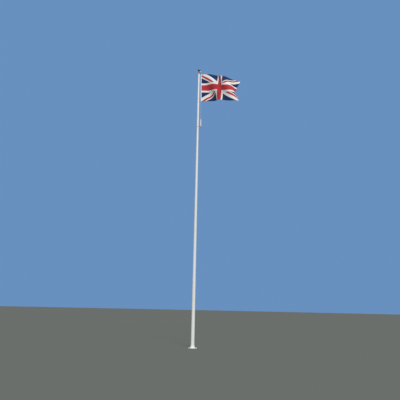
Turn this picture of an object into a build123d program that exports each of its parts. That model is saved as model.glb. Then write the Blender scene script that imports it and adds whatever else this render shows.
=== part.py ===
from build123d import *
import os
from math import atan2, cos, exp, pi, radians, sin, sqrt

# White tapered fibreglass flagpole, 12 m to the top of its revolving truck, with an internal
# halyard, a counterweight on a beaded sling, a gilded finial and a national flag in the wind.
# Millimetres. Origin: centre of the base shoe's flat underside. +Z up, the flag flies to +X.

os.makedirs("parts", exist_ok=True)

# Base shoe: one casting with a bolting flange, a flared hub and a socket for the butt
flange_diameter = 345
flange_thickness = 18
flange_edge_bevel = 4
bolt_circle = 285
bolt_hole_diameter = 22
bolt_count = 4
hub_foot_diameter = 222
hub_height = 100
collar_wall = 9
collar_bead_height = 14
collar_bead_swell = 4
flare_share = 0.3
socket_clearance = 0.2

# Pole: two tapered fibreglass tubes joined end to end over an inner ferrule
butt_diameter = 140
tip_diameter = 76
pole_wall = 6
shaft_top = 11940
joint_height = 6000
joint_bevel = 1.5
ferrule_length = 700
ferrule_wall = 5
ferrule_clearance = 0.3

# Halyard hatch in the back of the pole
hatch_centre_height = 1250
hatch_width = 66
hatch_height = 240
hatch_corner = 22
hatch_rim = 9
hatch_rim_stand = 2.5
hatch_fit = 0.8
hatch_plate_thickness = 3
hinge_diameter = 9
hinge_leaf_length = 46
hinge_spacing = 120
lock_diameter = 18
lock_stand = 4
lock_offset = 20
key_slot_width = 2.2
key_slot_length = 9

# Head plug in the pole's tip, bored for the truck's hollow spindle
plug_depth = 110
plug_clearance = 0.3
plug_rim_diameter = 84
plug_rim_height = 6
spindle_diameter = 40
spindle_bore = 24
spindle_clearance = 0.1
spindle_ring_diameter = 54
spindle_ring_height = 7
bearing_gap = 0.3

# Truck: base plate and skirt, two cheeks with the sheave between them, and a hood
truck_plate_diameter = 96
truck_plate_thickness = 8
truck_plate_bevel = 2
skirt_drop = 5
skirt_clearance = 1.5
cheek_thickness = 6
cheek_gap = 24
hood_thickness = 5
hood_clearance = 5
hood_end_drop = 16
boss_diameter = 46
spine_inset = 14

# Sheave and its pin
rope_diameter = 8
rope_clearance = 0.5
sheave_pitch_radius = 42
sheave_rim_width = 15
sheave_web_width = 8
sheave_web_inset = 7
sheave_hub_diameter = 26
sheave_axial_clearance = 0.3
sheave_gap = 5
pin_diameter = 12
pin_clearance = 0.1
pin_head_diameter = 20
pin_head_thickness = 4

# Finial
finial_collar_diameter = 40
finial_collar_height = 6
finial_stem_diameter = 22
finial_stem_height = 5
finial_ball_diameter = 124
finial_ball_height = 98
finial_tip_height = 26
finial_tip_diameter = 7
finial_belly_share = 0.46
finial_neck_share = 0.98
finial_neck_radius = 15.5

# Halyard line: straight from the sheave's rim down to the counterweight, leaning outwards
line_length = 2700
line_lean_offset = 48
rope_end_drop = 34
eye_rope_diameter = 7
eye_radius = 9
eye_throat_length = 9
link_height = 24
link_width = 13
link_wire = 4.4
link_clearance = 0.3
inner_rope_end = 1340

# Flag: canvas hoist sleeve with the hoist rope through it, and the cloth
flag_hoist = 1370
flag_fly = 2285
sleeve_width = 34
sleeve_thickness = 5
sleeve_tube_diameter = 13
sleeve_bore_clearance = 0.3
cloth_thickness = 6
seam_gap = 0.3

# Counterweight hung on the halyard's free end
weight_top_drop = 2344
weight_diameter = 58
weight_length = 300
weight_cap_height = 22
weight_cap_swell = 2.5
weight_cap_bevel = 6
weight_eye_radius = 10
weight_eye_wire = 6
weight_eye_stem = 10

# Beaded sling round the pole, through the counterweight's lower eye
sling_radius = 62
sling_tip_radius = 8
sling_wire = 5
bead_diameter = 21
bead_count = 11
bead_bore_clearance = 0.2
bead_spread = 210

# Wind on the flag. Angles in degrees: yaw turns the cloth away from the viewer, pitch lets it fall.
# Each has a value at the top of the hoist, its change by the fly end, by the foot and by the
# far foot corner, one long wave and one ripple of half its length.
wind_reach = 160
wave_length = 1969
wave_slant = -0.236
ripple_slant = -0.573
yaw_values = (-51.6, 66.0, -48.5, 68.8)
yaw_wave = 33.6
yaw_wave_start = -465
yaw_ripple = 21.5
yaw_ripple_start = 339
pitch_values = (23.1, -13.0, 6.4, -21.2)
pitch_wave = -12.7
pitch_wave_start = -467
pitch_ripple = 1.5
pitch_ripple_start = 469
flag_rows = 9
flag_columns = 41
steps_per_column = 4


# Shape of the pole


def pole_radius(z):
    """Outside radius of the tapered shaft at a height."""
    share = (z - flange_thickness) / (shaft_top - flange_thickness)
    return (butt_diameter + (tip_diameter - butt_diameter) * share) / 2


def bore_radius(z):
    """Inside radius of the shaft at a height."""
    return pole_radius(z) - pole_wall


def tapered_wall(bottom, top, outside, inside):
    """Corners of a tapered tube's half section, its radii given as functions of the height."""
    return [
        (inside(bottom), bottom),
        (outside(bottom), bottom),
        (outside(top), top),
        (inside(top), top),
    ]


# Base shoe: flange, flared hub and socket, turned in one piece and drilled
socket_radius = butt_diameter / 2 + socket_clearance
collar_radius = socket_radius + collar_wall
bead_radius = collar_radius + collar_bead_swell
bead_bottom = hub_height - collar_bead_height
flare_radius = collar_radius + (hub_foot_diameter / 2 - collar_radius) * flare_share
flare_height = flange_thickness + (bead_bottom - flange_thickness) * flare_share
with BuildPart() as base_shoe:
    with BuildSketch(Plane.XZ):
        with BuildLine():
            flange_line = Polyline(
                (socket_radius, flange_thickness),
                (0, flange_thickness),
                (0, 0),
                (flange_diameter / 2, 0),
                (flange_diameter / 2, flange_thickness),
                (hub_foot_diameter / 2, flange_thickness),
            )
            hub_flare = ThreePointArc(
                flange_line @ 1,
                (flare_radius, flare_height),
                (collar_radius, bead_bottom),
            )
            Polyline(
                hub_flare @ 1,
                (bead_radius, bead_bottom),
                (bead_radius, hub_height),
                (socket_radius, hub_height),
                (socket_radius, flange_thickness),
            )
        make_face()
    revolve(axis=Axis.Z)
    rim_edges = base_shoe.edges().filter_by(GeomType.CIRCLE)
    rim_edges = rim_edges.filter_by(lambda edge: edge.radius > bolt_circle / 2)
    chamfer(rim_edges.sort_by(Axis.Z)[-1], flange_edge_bevel)
    with Locations(Plane.XY.offset(flange_thickness)):
        with PolarLocations(bolt_circle / 2, bolt_count, start_angle=180 / bolt_count):
            Hole(bolt_hole_diameter / 2, flange_thickness)
base_shoe.part.label = "base_shoe"
export_step(base_shoe.part, "parts/base_shoe.step")

# Hatch outlines lie on a plane behind the pole, wide along X and tall along Z
hatch_plane = Plane(origin=(0, 0, hatch_centre_height), x_dir=(-1, 0, 0), z_dir=(0, 1, 0))


def hatch_bar(margin):
    """Rounded bar through the back of the pole: the hatch outline, grown by a margin."""
    with BuildPart() as bar:
        with BuildSketch(hatch_plane):
            RectangleRounded(
                hatch_width + 2 * margin, hatch_height + 2 * margin, hatch_corner + margin
            )
        extrude(amount=butt_diameter)
    return bar.part


def hatch_skin(stand, depth):
    """Tube that follows the shaft round the hatch, from a stand above its face to a depth below."""
    low = hatch_centre_height - hatch_height
    high = hatch_centre_height + hatch_height
    with BuildPart() as skin:
        with BuildSketch(Plane.XZ):
            Polygon(
                *tapered_wall(
                    low, high, lambda z: pole_radius(z) + stand, lambda z: pole_radius(z) - depth
                ),
                align=None,
            )
        revolve(axis=Axis.Z)
    return skin.part


# Lower half of the pole, seated on the floor of the socket
with BuildPart() as pole_lower:
    with BuildSketch(Plane.XZ):
        Polygon(*tapered_wall(flange_thickness, joint_height, pole_radius, bore_radius), align=None)
    revolve(axis=Axis.Z)
    top_edges = pole_lower.edges().filter_by(GeomType.CIRCLE).group_by(Axis.Z)[-1]
    chamfer(top_edges.sort_by(lambda edge: edge.radius)[-1], joint_bevel)
    add(hatch_bar(0), mode=Mode.SUBTRACT)
pole_lower.part.label = "pole_lower"
export_step(pole_lower.part, "parts/pole_lower.step")

# Upper half of the pole, end to end with the lower one
with BuildPart() as pole_upper:
    with BuildSketch(Plane.XZ):
        Polygon(*tapered_wall(joint_height, shaft_top, pole_radius, bore_radius), align=None)
    revolve(axis=Axis.Z)
    bottom_edges = pole_upper.edges().filter_by(GeomType.CIRCLE).group_by(Axis.Z)[0]
    chamfer(bottom_edges.sort_by(lambda edge: edge.radius)[-1], joint_bevel)
pole_upper.part.label = "pole_upper"
export_step(pole_upper.part, "parts/pole_upper.step")

# Ferrule inside the pole, half in each tube
with BuildPart() as pole_ferrule:
    with BuildSketch(Plane.XZ):
        Polygon(
            *tapered_wall(
                joint_height - ferrule_length / 2,
                joint_height + ferrule_length / 2,
                lambda z: bore_radius(z) - ferrule_clearance,
                lambda z: bore_radius(z) - ferrule_clearance - ferrule_wall,
            ),
            align=None,
        )
    revolve(axis=Axis.Z)
pole_ferrule.part.label = "pole_ferrule"
export_step(pole_ferrule.part, "parts/pole_ferrule.step")

# Hatch frame: a thin rim that lies on the pole's face round the opening
with BuildPart() as hatch_frame:
    add(hatch_skin(hatch_rim_stand, 0))
    add(hatch_bar(hatch_rim), mode=Mode.INTERSECT)
    add(hatch_bar(0), mode=Mode.SUBTRACT)
hatch_frame.part.label = "hatch_frame"
export_step(hatch_frame.part, "parts/hatch_frame.step")

# Hatch door, curved like the pole, closing the opening inside the rim
with BuildPart() as hatch_door:
    add(hatch_skin(hatch_rim_stand, hatch_plate_thickness))
    add(hatch_bar(-hatch_fit), mode=Mode.INTERSECT)
hatch_door.part.label = "hatch_door"
export_step(hatch_door.part, "parts/hatch_door.step")

# Hinge barrels along one side of the rim
hinge_x = hatch_width / 2 + hatch_rim / 2
with BuildPart() as hatch_hinge:
    for rise in (-hinge_spacing / 2, hinge_spacing / 2):
        height = hatch_centre_height + rise
        rim_face = pole_radius(height) + hatch_rim_stand + bearing_gap
        hinge_y = sqrt((rim_face + hinge_diameter / 2) ** 2 - hinge_x**2)
        with Locations((-hinge_x, hinge_y, height)):
            Cylinder(hinge_diameter / 2, hinge_leaf_length)
hatch_hinge.part.label = "hatch_hinge"
export_step(hatch_hinge.part, "parts/hatch_hinge.step")

# Lock barrel near the door's free side, with a key slot
lock_face = pole_radius(hatch_centre_height) + hatch_rim_stand + lock_stand
with BuildPart() as hatch_lock:
    with BuildSketch(Plane(origin=(lock_offset, lock_face, hatch_centre_height), z_dir=(0, 1, 0))):
        Circle(lock_diameter / 2)
    extrude(amount=-butt_diameter / 2)
    with BuildSketch(Plane(origin=(lock_offset, lock_face, hatch_centre_height), z_dir=(0, 1, 0))):
        Rectangle(key_slot_width, key_slot_length)
    extrude(amount=-lock_stand / 2, mode=Mode.SUBTRACT)
    add(hatch_skin(hatch_rim_stand, hatch_plate_thickness), mode=Mode.SUBTRACT)
    outer_piece = hatch_lock.part.solids().sort_by(Axis.Y)[-1]
    add(outer_piece, mode=Mode.INTERSECT)
hatch_lock.part.label = "hatch_lock"
export_step(hatch_lock.part, "parts/hatch_lock.step")

# Head plug: glued into the tip, its rim on the tube's end, bored right through
plug_top = shaft_top + plug_rim_height
plug_foot = shaft_top - plug_depth
spindle_radius = spindle_diameter / 2
with BuildPart() as head_plug:
    with BuildSketch(Plane.XZ):
        Polygon(
            (spindle_radius + spindle_clearance, plug_foot),
            (bore_radius(shaft_top) - plug_clearance, plug_foot),
            (bore_radius(shaft_top) - plug_clearance, shaft_top),
            (plug_rim_diameter / 2, shaft_top),
            (plug_rim_diameter / 2, plug_top),
            (spindle_radius + spindle_clearance, plug_top),
            align=None,
        )
    revolve(axis=Axis.Z)
head_plug.part.label = "head_plug"
export_step(head_plug.part, "parts/head_plug.step")

# Truck spindle: the hollow shaft that turns in the plug, with a retaining ring at its foot
plate_bottom = plug_top + bearing_gap
plate_top = plate_bottom + truck_plate_thickness
ring_top = plug_foot - bearing_gap
with BuildPart() as truck_spindle:
    with BuildSketch(Plane.XZ):
        Polygon(
            (spindle_bore / 2, ring_top - spindle_ring_height),
            (spindle_ring_diameter / 2, ring_top - spindle_ring_height),
            (spindle_ring_diameter / 2, ring_top),
            (spindle_radius, ring_top),
            (spindle_radius, plate_top),
            (spindle_bore / 2, plate_top),
            align=None,
        )
    revolve(axis=Axis.Z)
truck_spindle.part.label = "truck_spindle"
export_step(truck_spindle.part, "parts/truck_spindle.step")

# Sheave: grooved rim, thin web and a hub that fills the gap between the cheeks
rope_radius = rope_diameter / 2
groove_radius = rope_radius + rope_clearance
rim_radius = sheave_pitch_radius + rope_radius
sheave_height = plate_top + sheave_gap + rim_radius
sheave_plane = Plane(origin=(sheave_pitch_radius, 0, sheave_height), x_dir=(1, 0, 0), z_dir=(0, -1, 0))
web_radius = sheave_pitch_radius - groove_radius - sheave_web_inset
with BuildPart() as sheave:
    with BuildSketch(sheave_plane):
        Circle(rim_radius)
    extrude(amount=sheave_rim_width / 2, both=True)
    with BuildSketch(Plane(origin=sheave_plane.origin, x_dir=(1, 0, 0), z_dir=(0, 0, 1))):
        with Locations((sheave_pitch_radius, 0)):
            Circle(groove_radius)
        with Locations((sheave_pitch_radius + groove_radius, 0)):
            Rectangle(2 * groove_radius, 2 * groove_radius)
    revolve(axis=Axis(sheave_plane.origin, (0, 1, 0)), mode=Mode.SUBTRACT)
    for side in (1, -1):
        with BuildSketch(sheave_plane.offset(side * sheave_web_width / 2)):
            Circle(web_radius)
        extrude(amount=side * sheave_rim_width, mode=Mode.SUBTRACT)
    with BuildSketch(sheave_plane):
        Circle(sheave_hub_diameter / 2)
    extrude(amount=cheek_gap / 2 - sheave_axial_clearance, both=True)
    with BuildSketch(sheave_plane):
        Circle(pin_diameter / 2 + pin_clearance)
    extrude(amount=cheek_gap, both=True, mode=Mode.SUBTRACT)
sheave.part.label = "sheave"
export_step(sheave.part, "parts/sheave.step")

# Truck body: plate and skirt over the plug, tower, cheeks and hood round the sheave
hood_inner = rim_radius + hood_clearance
hood_outer = hood_inner + hood_thickness
truck_top = sheave_height + hood_outer
truck_width = cheek_gap + 2 * cheek_thickness
boss_radius = boss_diameter / 2
plate_radius = truck_plate_diameter / 2
skirt_radius = plug_rim_diameter / 2 + skirt_clearance
truck_plane = Plane(origin=(0, 0, 0), x_dir=(1, 0, 0), z_dir=(0, -1, 0))
with BuildPart() as truck_body:
    with BuildSketch(truck_plane):
        with Locations((sheave_pitch_radius, sheave_height)):
            Circle(hood_outer)
        Polygon(
            (-plate_radius + truck_plate_bevel, plate_top - truck_plate_bevel),
            (-boss_radius, sheave_height),
            (-boss_radius, truck_top),
            (sheave_pitch_radius, truck_top),
            (sheave_pitch_radius, plate_top - truck_plate_bevel),
            align=None,
        )
        with Locations((0, plate_top - truck_plate_bevel)):
            Rectangle(
                4 * hood_outer, 2 * hood_outer, align=(Align.CENTER, Align.MAX), mode=Mode.SUBTRACT
            )
    extrude(amount=truck_width / 2, both=True)
    with BuildSketch(Plane.XY.offset(sheave_height)):
        Circle(boss_radius)
    extrude(amount=hood_outer)
    with BuildSketch(truck_plane):
        with Locations((sheave_pitch_radius, sheave_height)):
            Circle(hood_inner)
        Polygon(
            (-spine_inset, plate_top),
            (-spine_inset, sheave_height),
            (sheave_pitch_radius, sheave_height),
            (sheave_pitch_radius, sheave_height - hood_end_drop),
            (2 * hood_outer + sheave_pitch_radius, sheave_height - hood_end_drop),
            (2 * hood_outer + sheave_pitch_radius, plate_top),
            align=None,
        )
    extrude(amount=cheek_gap / 2, both=True, mode=Mode.SUBTRACT)
    with BuildSketch(Plane.XZ):
        Polygon(
            (0, plate_bottom),
            (skirt_radius, plate_bottom),
            (skirt_radius, plate_bottom - skirt_drop),
            (plate_radius, plate_bottom - skirt_drop),
            (plate_radius, plate_top - truck_plate_bevel),
            (plate_radius - truck_plate_bevel, plate_top),
            (0, plate_top),
            align=None,
        )
    revolve(axis=Axis.Z)
    with BuildSketch(Plane.XY.offset(plate_bottom)):
        Circle(spindle_radius)
    extrude(amount=truck_plate_thickness, mode=Mode.SUBTRACT)
    with BuildSketch(sheave_plane):
        Circle(pin_diameter / 2)
    extrude(amount=truck_width, both=True, mode=Mode.SUBTRACT)
truck_body.part.label = "truck_body"
export_step(truck_body.part, "parts/truck_body.step")

# Sheave pin, a bolt through both cheeks with a head on each side
with BuildPart() as sheave_pin:
    with BuildSketch(sheave_plane):
        Circle(pin_diameter / 2)
    extrude(amount=truck_width / 2 + pin_head_thickness, both=True)
    for side in (1, -1):
        with BuildSketch(sheave_plane.offset(side * truck_width / 2)):
            Circle(pin_head_diameter / 2)
        extrude(amount=side * pin_head_thickness)
sheave_pin.part.label = "sheave_pin"
export_step(sheave_pin.part, "parts/sheave_pin.step")

# Finial stem, screwed into the truck's boss
stem_top = truck_top + finial_collar_height + finial_stem_height
with BuildPart() as finial_stem:
    with BuildSketch(Plane.XY.offset(truck_top)):
        Circle(finial_collar_diameter / 2)
    extrude(amount=finial_collar_height)
    chamfer(finial_stem.edges().group_by(Axis.Z)[-1], finial_collar_height / 3)
    with BuildSketch(Plane.XY.offset(truck_top)):
        Circle(finial_stem_diameter / 2)
    extrude(amount=finial_collar_height + finial_stem_height)
finial_stem.part.label = "finial_stem"
export_step(finial_stem.part, "parts/finial_stem.step")

# Finial: an onion that swells from the stem and draws up to a point
with BuildPart() as finial:
    with BuildSketch(Plane.XZ):
        with BuildLine():
            foot = Line((0, stem_top), (finial_stem_diameter / 2, stem_top))
            belly = Spline(
                foot @ 1,
                (finial_ball_diameter / 2, stem_top + finial_ball_height * finial_belly_share),
                (finial_neck_radius, stem_top + finial_ball_height * finial_neck_share),
                (finial_tip_diameter / 2, stem_top + finial_ball_height + finial_tip_height),
                tangents=((1, 0.25), (0, 1)),
            )
            Line(belly @ 1, (0, (belly @ 1).Y))
            Line((0, (belly @ 1).Y), (0, stem_top))
        make_face()
    revolve(axis=Axis.Z)
finial.part.label = "finial"
export_step(finial.part, "parts/finial.step")

# Halyard line: planes across it at any drop below the sheave, their z axis up along the rope
line_lean = atan2(line_lean_offset, line_length)
line_top = (
    sheave_pitch_radius * (1 + cos(line_lean)),
    0,
    sheave_height + sheave_pitch_radius * sin(line_lean),
)


def line_plane(drop):
    """Plane across the halyard line at a drop below the sheave."""
    origin = (line_top[0] + drop * sin(line_lean), 0, line_top[2] - drop * cos(line_lean))
    return Plane(
        origin=origin,
        x_dir=(cos(line_lean), 0, sin(line_lean)),
        z_dir=(-sin(line_lean), 0, cos(line_lean)),
    )


def line_side_plane(drop):
    """Plane through the halyard line that faces the pole's front, at a drop."""
    across = line_plane(drop)
    return Plane(origin=across.origin, x_dir=across.x_dir, z_dir=(0, -1, 0))


def line_edge_plane(drop):
    """Plane through the halyard line that faces away from the pole, at a drop."""
    across = line_plane(drop)
    return Plane(origin=across.origin, x_dir=(0, 1, 0), z_dir=across.x_dir)


def ring_at(drop, radius, wire, plane):
    """Round ring of wire centred on the halyard line at a drop, lying in a plane."""
    with BuildPart() as ring:
        with Locations(Plane(origin=line_plane(drop).origin, x_dir=plane.x_dir, z_dir=plane.z_dir)):
            Torus(radius, wire / 2)
    return ring.part


def rope_eye(name, drop, throat):
    """Spliced eye in the halyard line at a drop, its throat above (1) or below (-1)."""
    with BuildPart() as eye:
        add(ring_at(drop, eye_radius, eye_rope_diameter, line_side_plane(drop)))
        with BuildSketch(line_plane(drop - throat * eye_radius)):
            Circle(rope_radius)
        extrude(amount=throat * eye_throat_length)
    eye.part.label = name
    export_step(eye.part, f"parts/{name}.step")


def wire_link(name, drop):
    """Closed oval link of steel wire, its upper bend's wire centred at a drop."""
    plane = line_edge_plane(drop + link_width / 2)
    bend = link_width / 2
    straight = link_height - link_width
    with BuildPart() as link:
        with BuildLine(plane):
            right = Line((bend, 0), (bend, -straight))
            lower = ThreePointArc(right @ 1, (0, -straight - bend), (-bend, -straight))
            left = Line(lower @ 1, (-bend, 0))
            ThreePointArc(left @ 1, (0, bend), right @ 0)
        section = plane.from_local_coords((bend, 0, 0))
        with BuildSketch(Plane(origin=section, x_dir=plane.x_dir, z_dir=-plane.y_dir)):
            Circle(link_wire / 2)
        sweep()
    link.part.label = name
    export_step(link.part, f"parts/{name}.step")


# Drops of the fittings, each hung in the one above with its wires almost touching
link_seat = (eye_rope_diameter + link_wire) / 2 + link_clearance
top_eye_drop = rope_end_drop + eye_throat_length + eye_radius
top_link_drop = top_eye_drop + eye_radius - link_seat
flag_eye_drop = top_link_drop + link_height - link_seat + eye_radius
hoist_top_drop = flag_eye_drop + eye_radius + eye_throat_length
hoist_foot_drop = hoist_top_drop + flag_hoist
foot_eye_drop = hoist_foot_drop + eye_throat_length + eye_radius
foot_link_drop = foot_eye_drop + eye_radius - link_seat
tail_eye_drop = foot_link_drop + link_height - link_seat + eye_radius
tail_top_drop = tail_eye_drop + eye_radius + eye_throat_length
weight_eye_drop = weight_top_drop - weight_eye_radius - weight_eye_stem
weight_seat = (eye_rope_diameter + weight_eye_wire) / 2 + link_clearance
tail_low_eye_drop = weight_eye_drop - weight_eye_radius + weight_seat - eye_radius
tail_foot_drop = tail_low_eye_drop - eye_radius - eye_throat_length

# Halyard: up inside the pole, over the sheave and down to its eye
with BuildPart() as halyard:
    with BuildLine() as halyard_path:
        inner_run = Line((0, 0, inner_rope_end), (0, 0, sheave_height))
        crown = ThreePointArc(
            inner_run @ 1,
            (
                sheave_pitch_radius * (1 + sin(line_lean / 2)),
                0,
                sheave_height + sheave_pitch_radius * cos(line_lean / 2),
            ),
            line_top,
        )
        Line(crown @ 1, line_plane(rope_end_drop).origin)
    with BuildSketch(Plane.XY.offset(inner_rope_end)):
        Circle(rope_radius)
    sweep()
halyard.part.label = "halyard"
export_step(halyard.part, "parts/halyard.step")

# Eyes and links that join the halyard, the flag's hoist rope and the tail
rope_eye("halyard_eye", top_eye_drop, 1)
wire_link("top_link", top_link_drop)
rope_eye("hoist_top_eye", flag_eye_drop, -1)
rope_eye("hoist_foot_eye", foot_eye_drop, 1)
wire_link("foot_link", foot_link_drop)
rope_eye("tail_top_eye", tail_eye_drop, -1)
rope_eye("tail_foot_eye", tail_low_eye_drop, 1)


def straight_rope(name, top_drop, foot_drop):
    """Straight stretch of rope along the halyard line between two drops."""
    with BuildPart() as rope:
        with BuildSketch(line_plane(foot_drop)):
            Circle(rope_radius)
        extrude(amount=foot_drop - top_drop)
    rope.part.label = name
    export_step(rope.part, f"parts/{name}.step")


straight_rope("hoist_rope", hoist_top_drop, hoist_foot_drop)
straight_rope("tail_rope", tail_top_drop, tail_foot_drop)

# Canvas sleeve sewn round the hoist rope, a tube with a flat band towards the fly
with BuildPart() as hoist_sleeve:
    with BuildSketch(line_plane(hoist_foot_drop)):
        Circle(sleeve_tube_diameter / 2)
        with Locations((sleeve_width / 2, 0)):
            Rectangle(sleeve_width, sleeve_thickness)
        Circle(rope_radius + sleeve_bore_clearance, mode=Mode.SUBTRACT)
    extrude(amount=flag_hoist)
hoist_sleeve.part.label = "hoist_sleeve"
export_step(hoist_sleeve.part, "parts/hoist_sleeve.step")


cloth_length = flag_fly - sleeve_width


def blown(values, wave, wave_start, ripple, ripple_start, fly, hoist):
    """Angle of the cloth at a flat point, in radians, from its trend, its wave and its ripple."""
    across, down = fly / cloth_length, hoist / flag_hoist
    trend = values[0] + values[1] * across + values[2] * down + values[3] * across * down
    long_phase = 2 * pi * (fly + wave_slant * hoist - wave_start) / wave_length
    short_phase = 4 * pi * (fly + ripple_slant * hoist - ripple_start) / wave_length
    freedom = 1 - exp(-((fly / wind_reach) ** 2))
    return radians(trend + wave * sin(long_phase) + ripple * sin(short_phase)) * freedom


def cloth_row(hoist):
    """Points along the flying cloth at a flat distance down the hoist."""
    hem = line_plane(hoist_top_drop + hoist)
    point = hem.origin + hem.x_dir * (sleeve_width + seam_gap)
    step = cloth_length / (flag_columns - 1) / steps_per_column
    row = [point]
    for index in range((flag_columns - 1) * steps_per_column):
        fly = (index + 0.5) * step
        yaw = blown(
            yaw_values, yaw_wave, yaw_wave_start, yaw_ripple, yaw_ripple_start, fly, hoist
        )
        pitch = blown(
            pitch_values,
            pitch_wave,
            pitch_wave_start,
            pitch_ripple,
            pitch_ripple_start,
            fly,
            hoist,
        )
        point += Vector(cos(yaw) * cos(pitch), sin(yaw) * cos(pitch), -sin(pitch)) * step
        row.append(point)
    return row[::steps_per_column]


cloth_grid = [cloth_row(flag_hoist * row / (flag_rows - 1)) for row in range(flag_rows)]
with BuildPart() as flag:
    cloth_face = Face.make_surface_from_array_of_points(cloth_grid, tol=1)
    thicken(cloth_face, amount=cloth_thickness / 2, both=True)
flag.part.label = "flag"
export_step(flag.part, "parts/flag.step")

# Counterweight: a straight tube between two end caps
weight_low_drop = weight_top_drop + 2 * weight_cap_height + weight_length
with BuildPart() as weight_body:
    with BuildSketch(line_plane(weight_low_drop - weight_cap_height)):
        Circle(weight_diameter / 2)
    extrude(amount=weight_length)
weight_body.part.label = "weight_body"
export_step(weight_body.part, "parts/weight_body.step")


def weight_cap(name, face_drop, outward):
    """End cap of the counterweight on a face at a drop, facing up (1) or down (-1)."""
    with BuildPart() as cap:
        with BuildSketch(line_plane(face_drop)):
            Circle(weight_diameter / 2 + weight_cap_swell)
        extrude(amount=outward * weight_cap_height)
        rims = cap.edges().filter_by(GeomType.CIRCLE).sort_by(Axis.Z)
        chamfer(rims[-1] if outward > 0 else rims[0], weight_cap_bevel)
    cap.part.label = name
    export_step(cap.part, f"parts/{name}.step")


weight_cap("weight_top_cap", weight_top_drop + weight_cap_height, 1)
weight_cap("weight_foot_cap", weight_low_drop - weight_cap_height, -1)


def weight_eye(name, drop, stem_drop, outward, plane):
    """Steel eye on a stem that stands on the counterweight's end."""
    with BuildPart() as eye:
        add(ring_at(drop, weight_eye_radius, weight_eye_wire, plane))
        with BuildSketch(line_plane(stem_drop)):
            Circle(weight_eye_wire / 2)
        extrude(amount=outward * weight_eye_stem)
    eye.part.label = name
    export_step(eye.part, f"parts/{name}.step")


weight_foot_eye_drop = weight_low_drop + weight_eye_stem + weight_eye_radius
weight_eye("weight_top_eye", weight_eye_drop, weight_top_drop, 1, line_edge_plane(weight_eye_drop))
weight_eye(
    "weight_foot_eye",
    weight_foot_eye_drop,
    weight_low_drop,
    -1,
    line_side_plane(weight_foot_eye_drop),
)

# Sling: a level loop of wire round the pole, drawn out to the counterweight's lower eye
sling_eye = line_plane(weight_foot_eye_drop).origin
sling_slack = sling_wire / 2 + link_clearance
sling_tip = sling_eye.X - weight_eye_radius + weight_eye_wire / 2 + sling_slack
tip_centre = sling_tip - sling_tip_radius
tangent_cos = (sling_radius - sling_tip_radius) / tip_centre
tangent_sin = sqrt(1 - tangent_cos**2)
sling_plane = Plane.XY.offset(sling_eye.Z)
with BuildPart() as sling:
    with BuildLine(sling_plane):
        tip_side = (tip_centre + sling_tip_radius * tangent_cos, sling_tip_radius * tangent_sin)
        pole_side = (sling_radius * tangent_cos, sling_radius * tangent_sin)
        Line(tip_side, pole_side)
        ThreePointArc(pole_side, (-sling_radius, 0), (pole_side[0], -pole_side[1]))
        Line((pole_side[0], -pole_side[1]), (tip_side[0], -tip_side[1]))
        ThreePointArc((tip_side[0], -tip_side[1]), (sling_tip, 0), tip_side)
    run = Vector(pole_side) - Vector(tip_side)
    with BuildSketch(Plane(origin=(*tip_side, sling_eye.Z), z_dir=run)):
        Circle(sling_wire / 2)
    sweep()
sling.part.label = "sling"
export_step(sling.part, "parts/sling.step")

# Beads threaded on the sling where it passes round the pole
with BuildPart() as sling_beads:
    with Locations(sling_plane):
        with PolarLocations(
            sling_radius,
            bead_count,
            start_angle=180 - bead_spread / 2,
            angular_range=bead_spread,
            endpoint=True,
        ):
            Sphere(bead_diameter / 2)
        Torus(sling_radius, sling_wire / 2 + bead_bore_clearance, mode=Mode.SUBTRACT)
sling_beads.part.label = "sling_beads"
export_step(sling_beads.part, "parts/sling_beads.step")
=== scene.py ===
# %% [markdown]
# A flagpole with a revolving truck, dressed around its fixed CAD frame.
# The frame holds every hard piece in metres, one object a node, with its place in its mesh.
# This lesson gives those pieces their finishes, and makes the soft and the small things that
# the solids leave out: cloth, canvas, braided rope, stitches, nuts, screws and sealant.

from math import atan2, cos, pi, radians, sin, sqrt

import bmesh
import bpy
import numpy as np
from mathutils import Matrix, Vector


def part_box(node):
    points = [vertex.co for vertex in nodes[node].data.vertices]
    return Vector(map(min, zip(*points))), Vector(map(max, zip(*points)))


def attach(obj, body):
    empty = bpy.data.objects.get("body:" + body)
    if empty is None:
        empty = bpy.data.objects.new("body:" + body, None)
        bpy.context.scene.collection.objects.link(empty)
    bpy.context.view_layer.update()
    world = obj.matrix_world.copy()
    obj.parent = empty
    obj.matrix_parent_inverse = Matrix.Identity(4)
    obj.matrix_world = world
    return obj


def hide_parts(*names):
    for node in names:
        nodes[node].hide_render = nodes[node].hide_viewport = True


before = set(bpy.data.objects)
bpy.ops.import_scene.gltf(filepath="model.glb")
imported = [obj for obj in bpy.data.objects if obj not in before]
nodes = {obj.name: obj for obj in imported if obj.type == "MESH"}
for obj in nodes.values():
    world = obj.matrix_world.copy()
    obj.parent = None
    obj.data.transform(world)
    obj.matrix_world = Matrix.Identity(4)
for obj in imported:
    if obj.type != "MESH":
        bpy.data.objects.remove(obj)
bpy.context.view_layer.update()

# %% [markdown]
# The camera comes first, because everything else is judged through it.
# It stands about seventeen metres in front of the pole at eye height and looks up, so the pole
# runs the height of the picture. It is tipped a little, as a hand-held camera is.
# Three Euler angles could aim it too. A matrix built from the camera's own right, up and forward
# directions is used instead, because it keeps the tilt and the tip apart and easy to change.

# %% Camera
eye_place = Vector((0.1690, -17.06, 1.4961))
look_up = radians(14.607)
tip_over = radians(1.215)
sensor = 36.0
focal_share = 1.04
sees_to = 1000


def linked(name, data):
    """A new object at the origin that shows a mesh, a curve, a camera or a lamp."""
    made = bpy.data.objects.new(name, data)
    bpy.context.scene.collection.objects.link(made)
    return made


forward = Vector((0, cos(look_up), sin(look_up)))
level_up = Vector((0, -sin(look_up), cos(look_up)))
right = Vector((1, 0, 0)) * cos(tip_over) + level_up * sin(tip_over)
up = level_up * cos(tip_over) - Vector((1, 0, 0)) * sin(tip_over)

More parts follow.
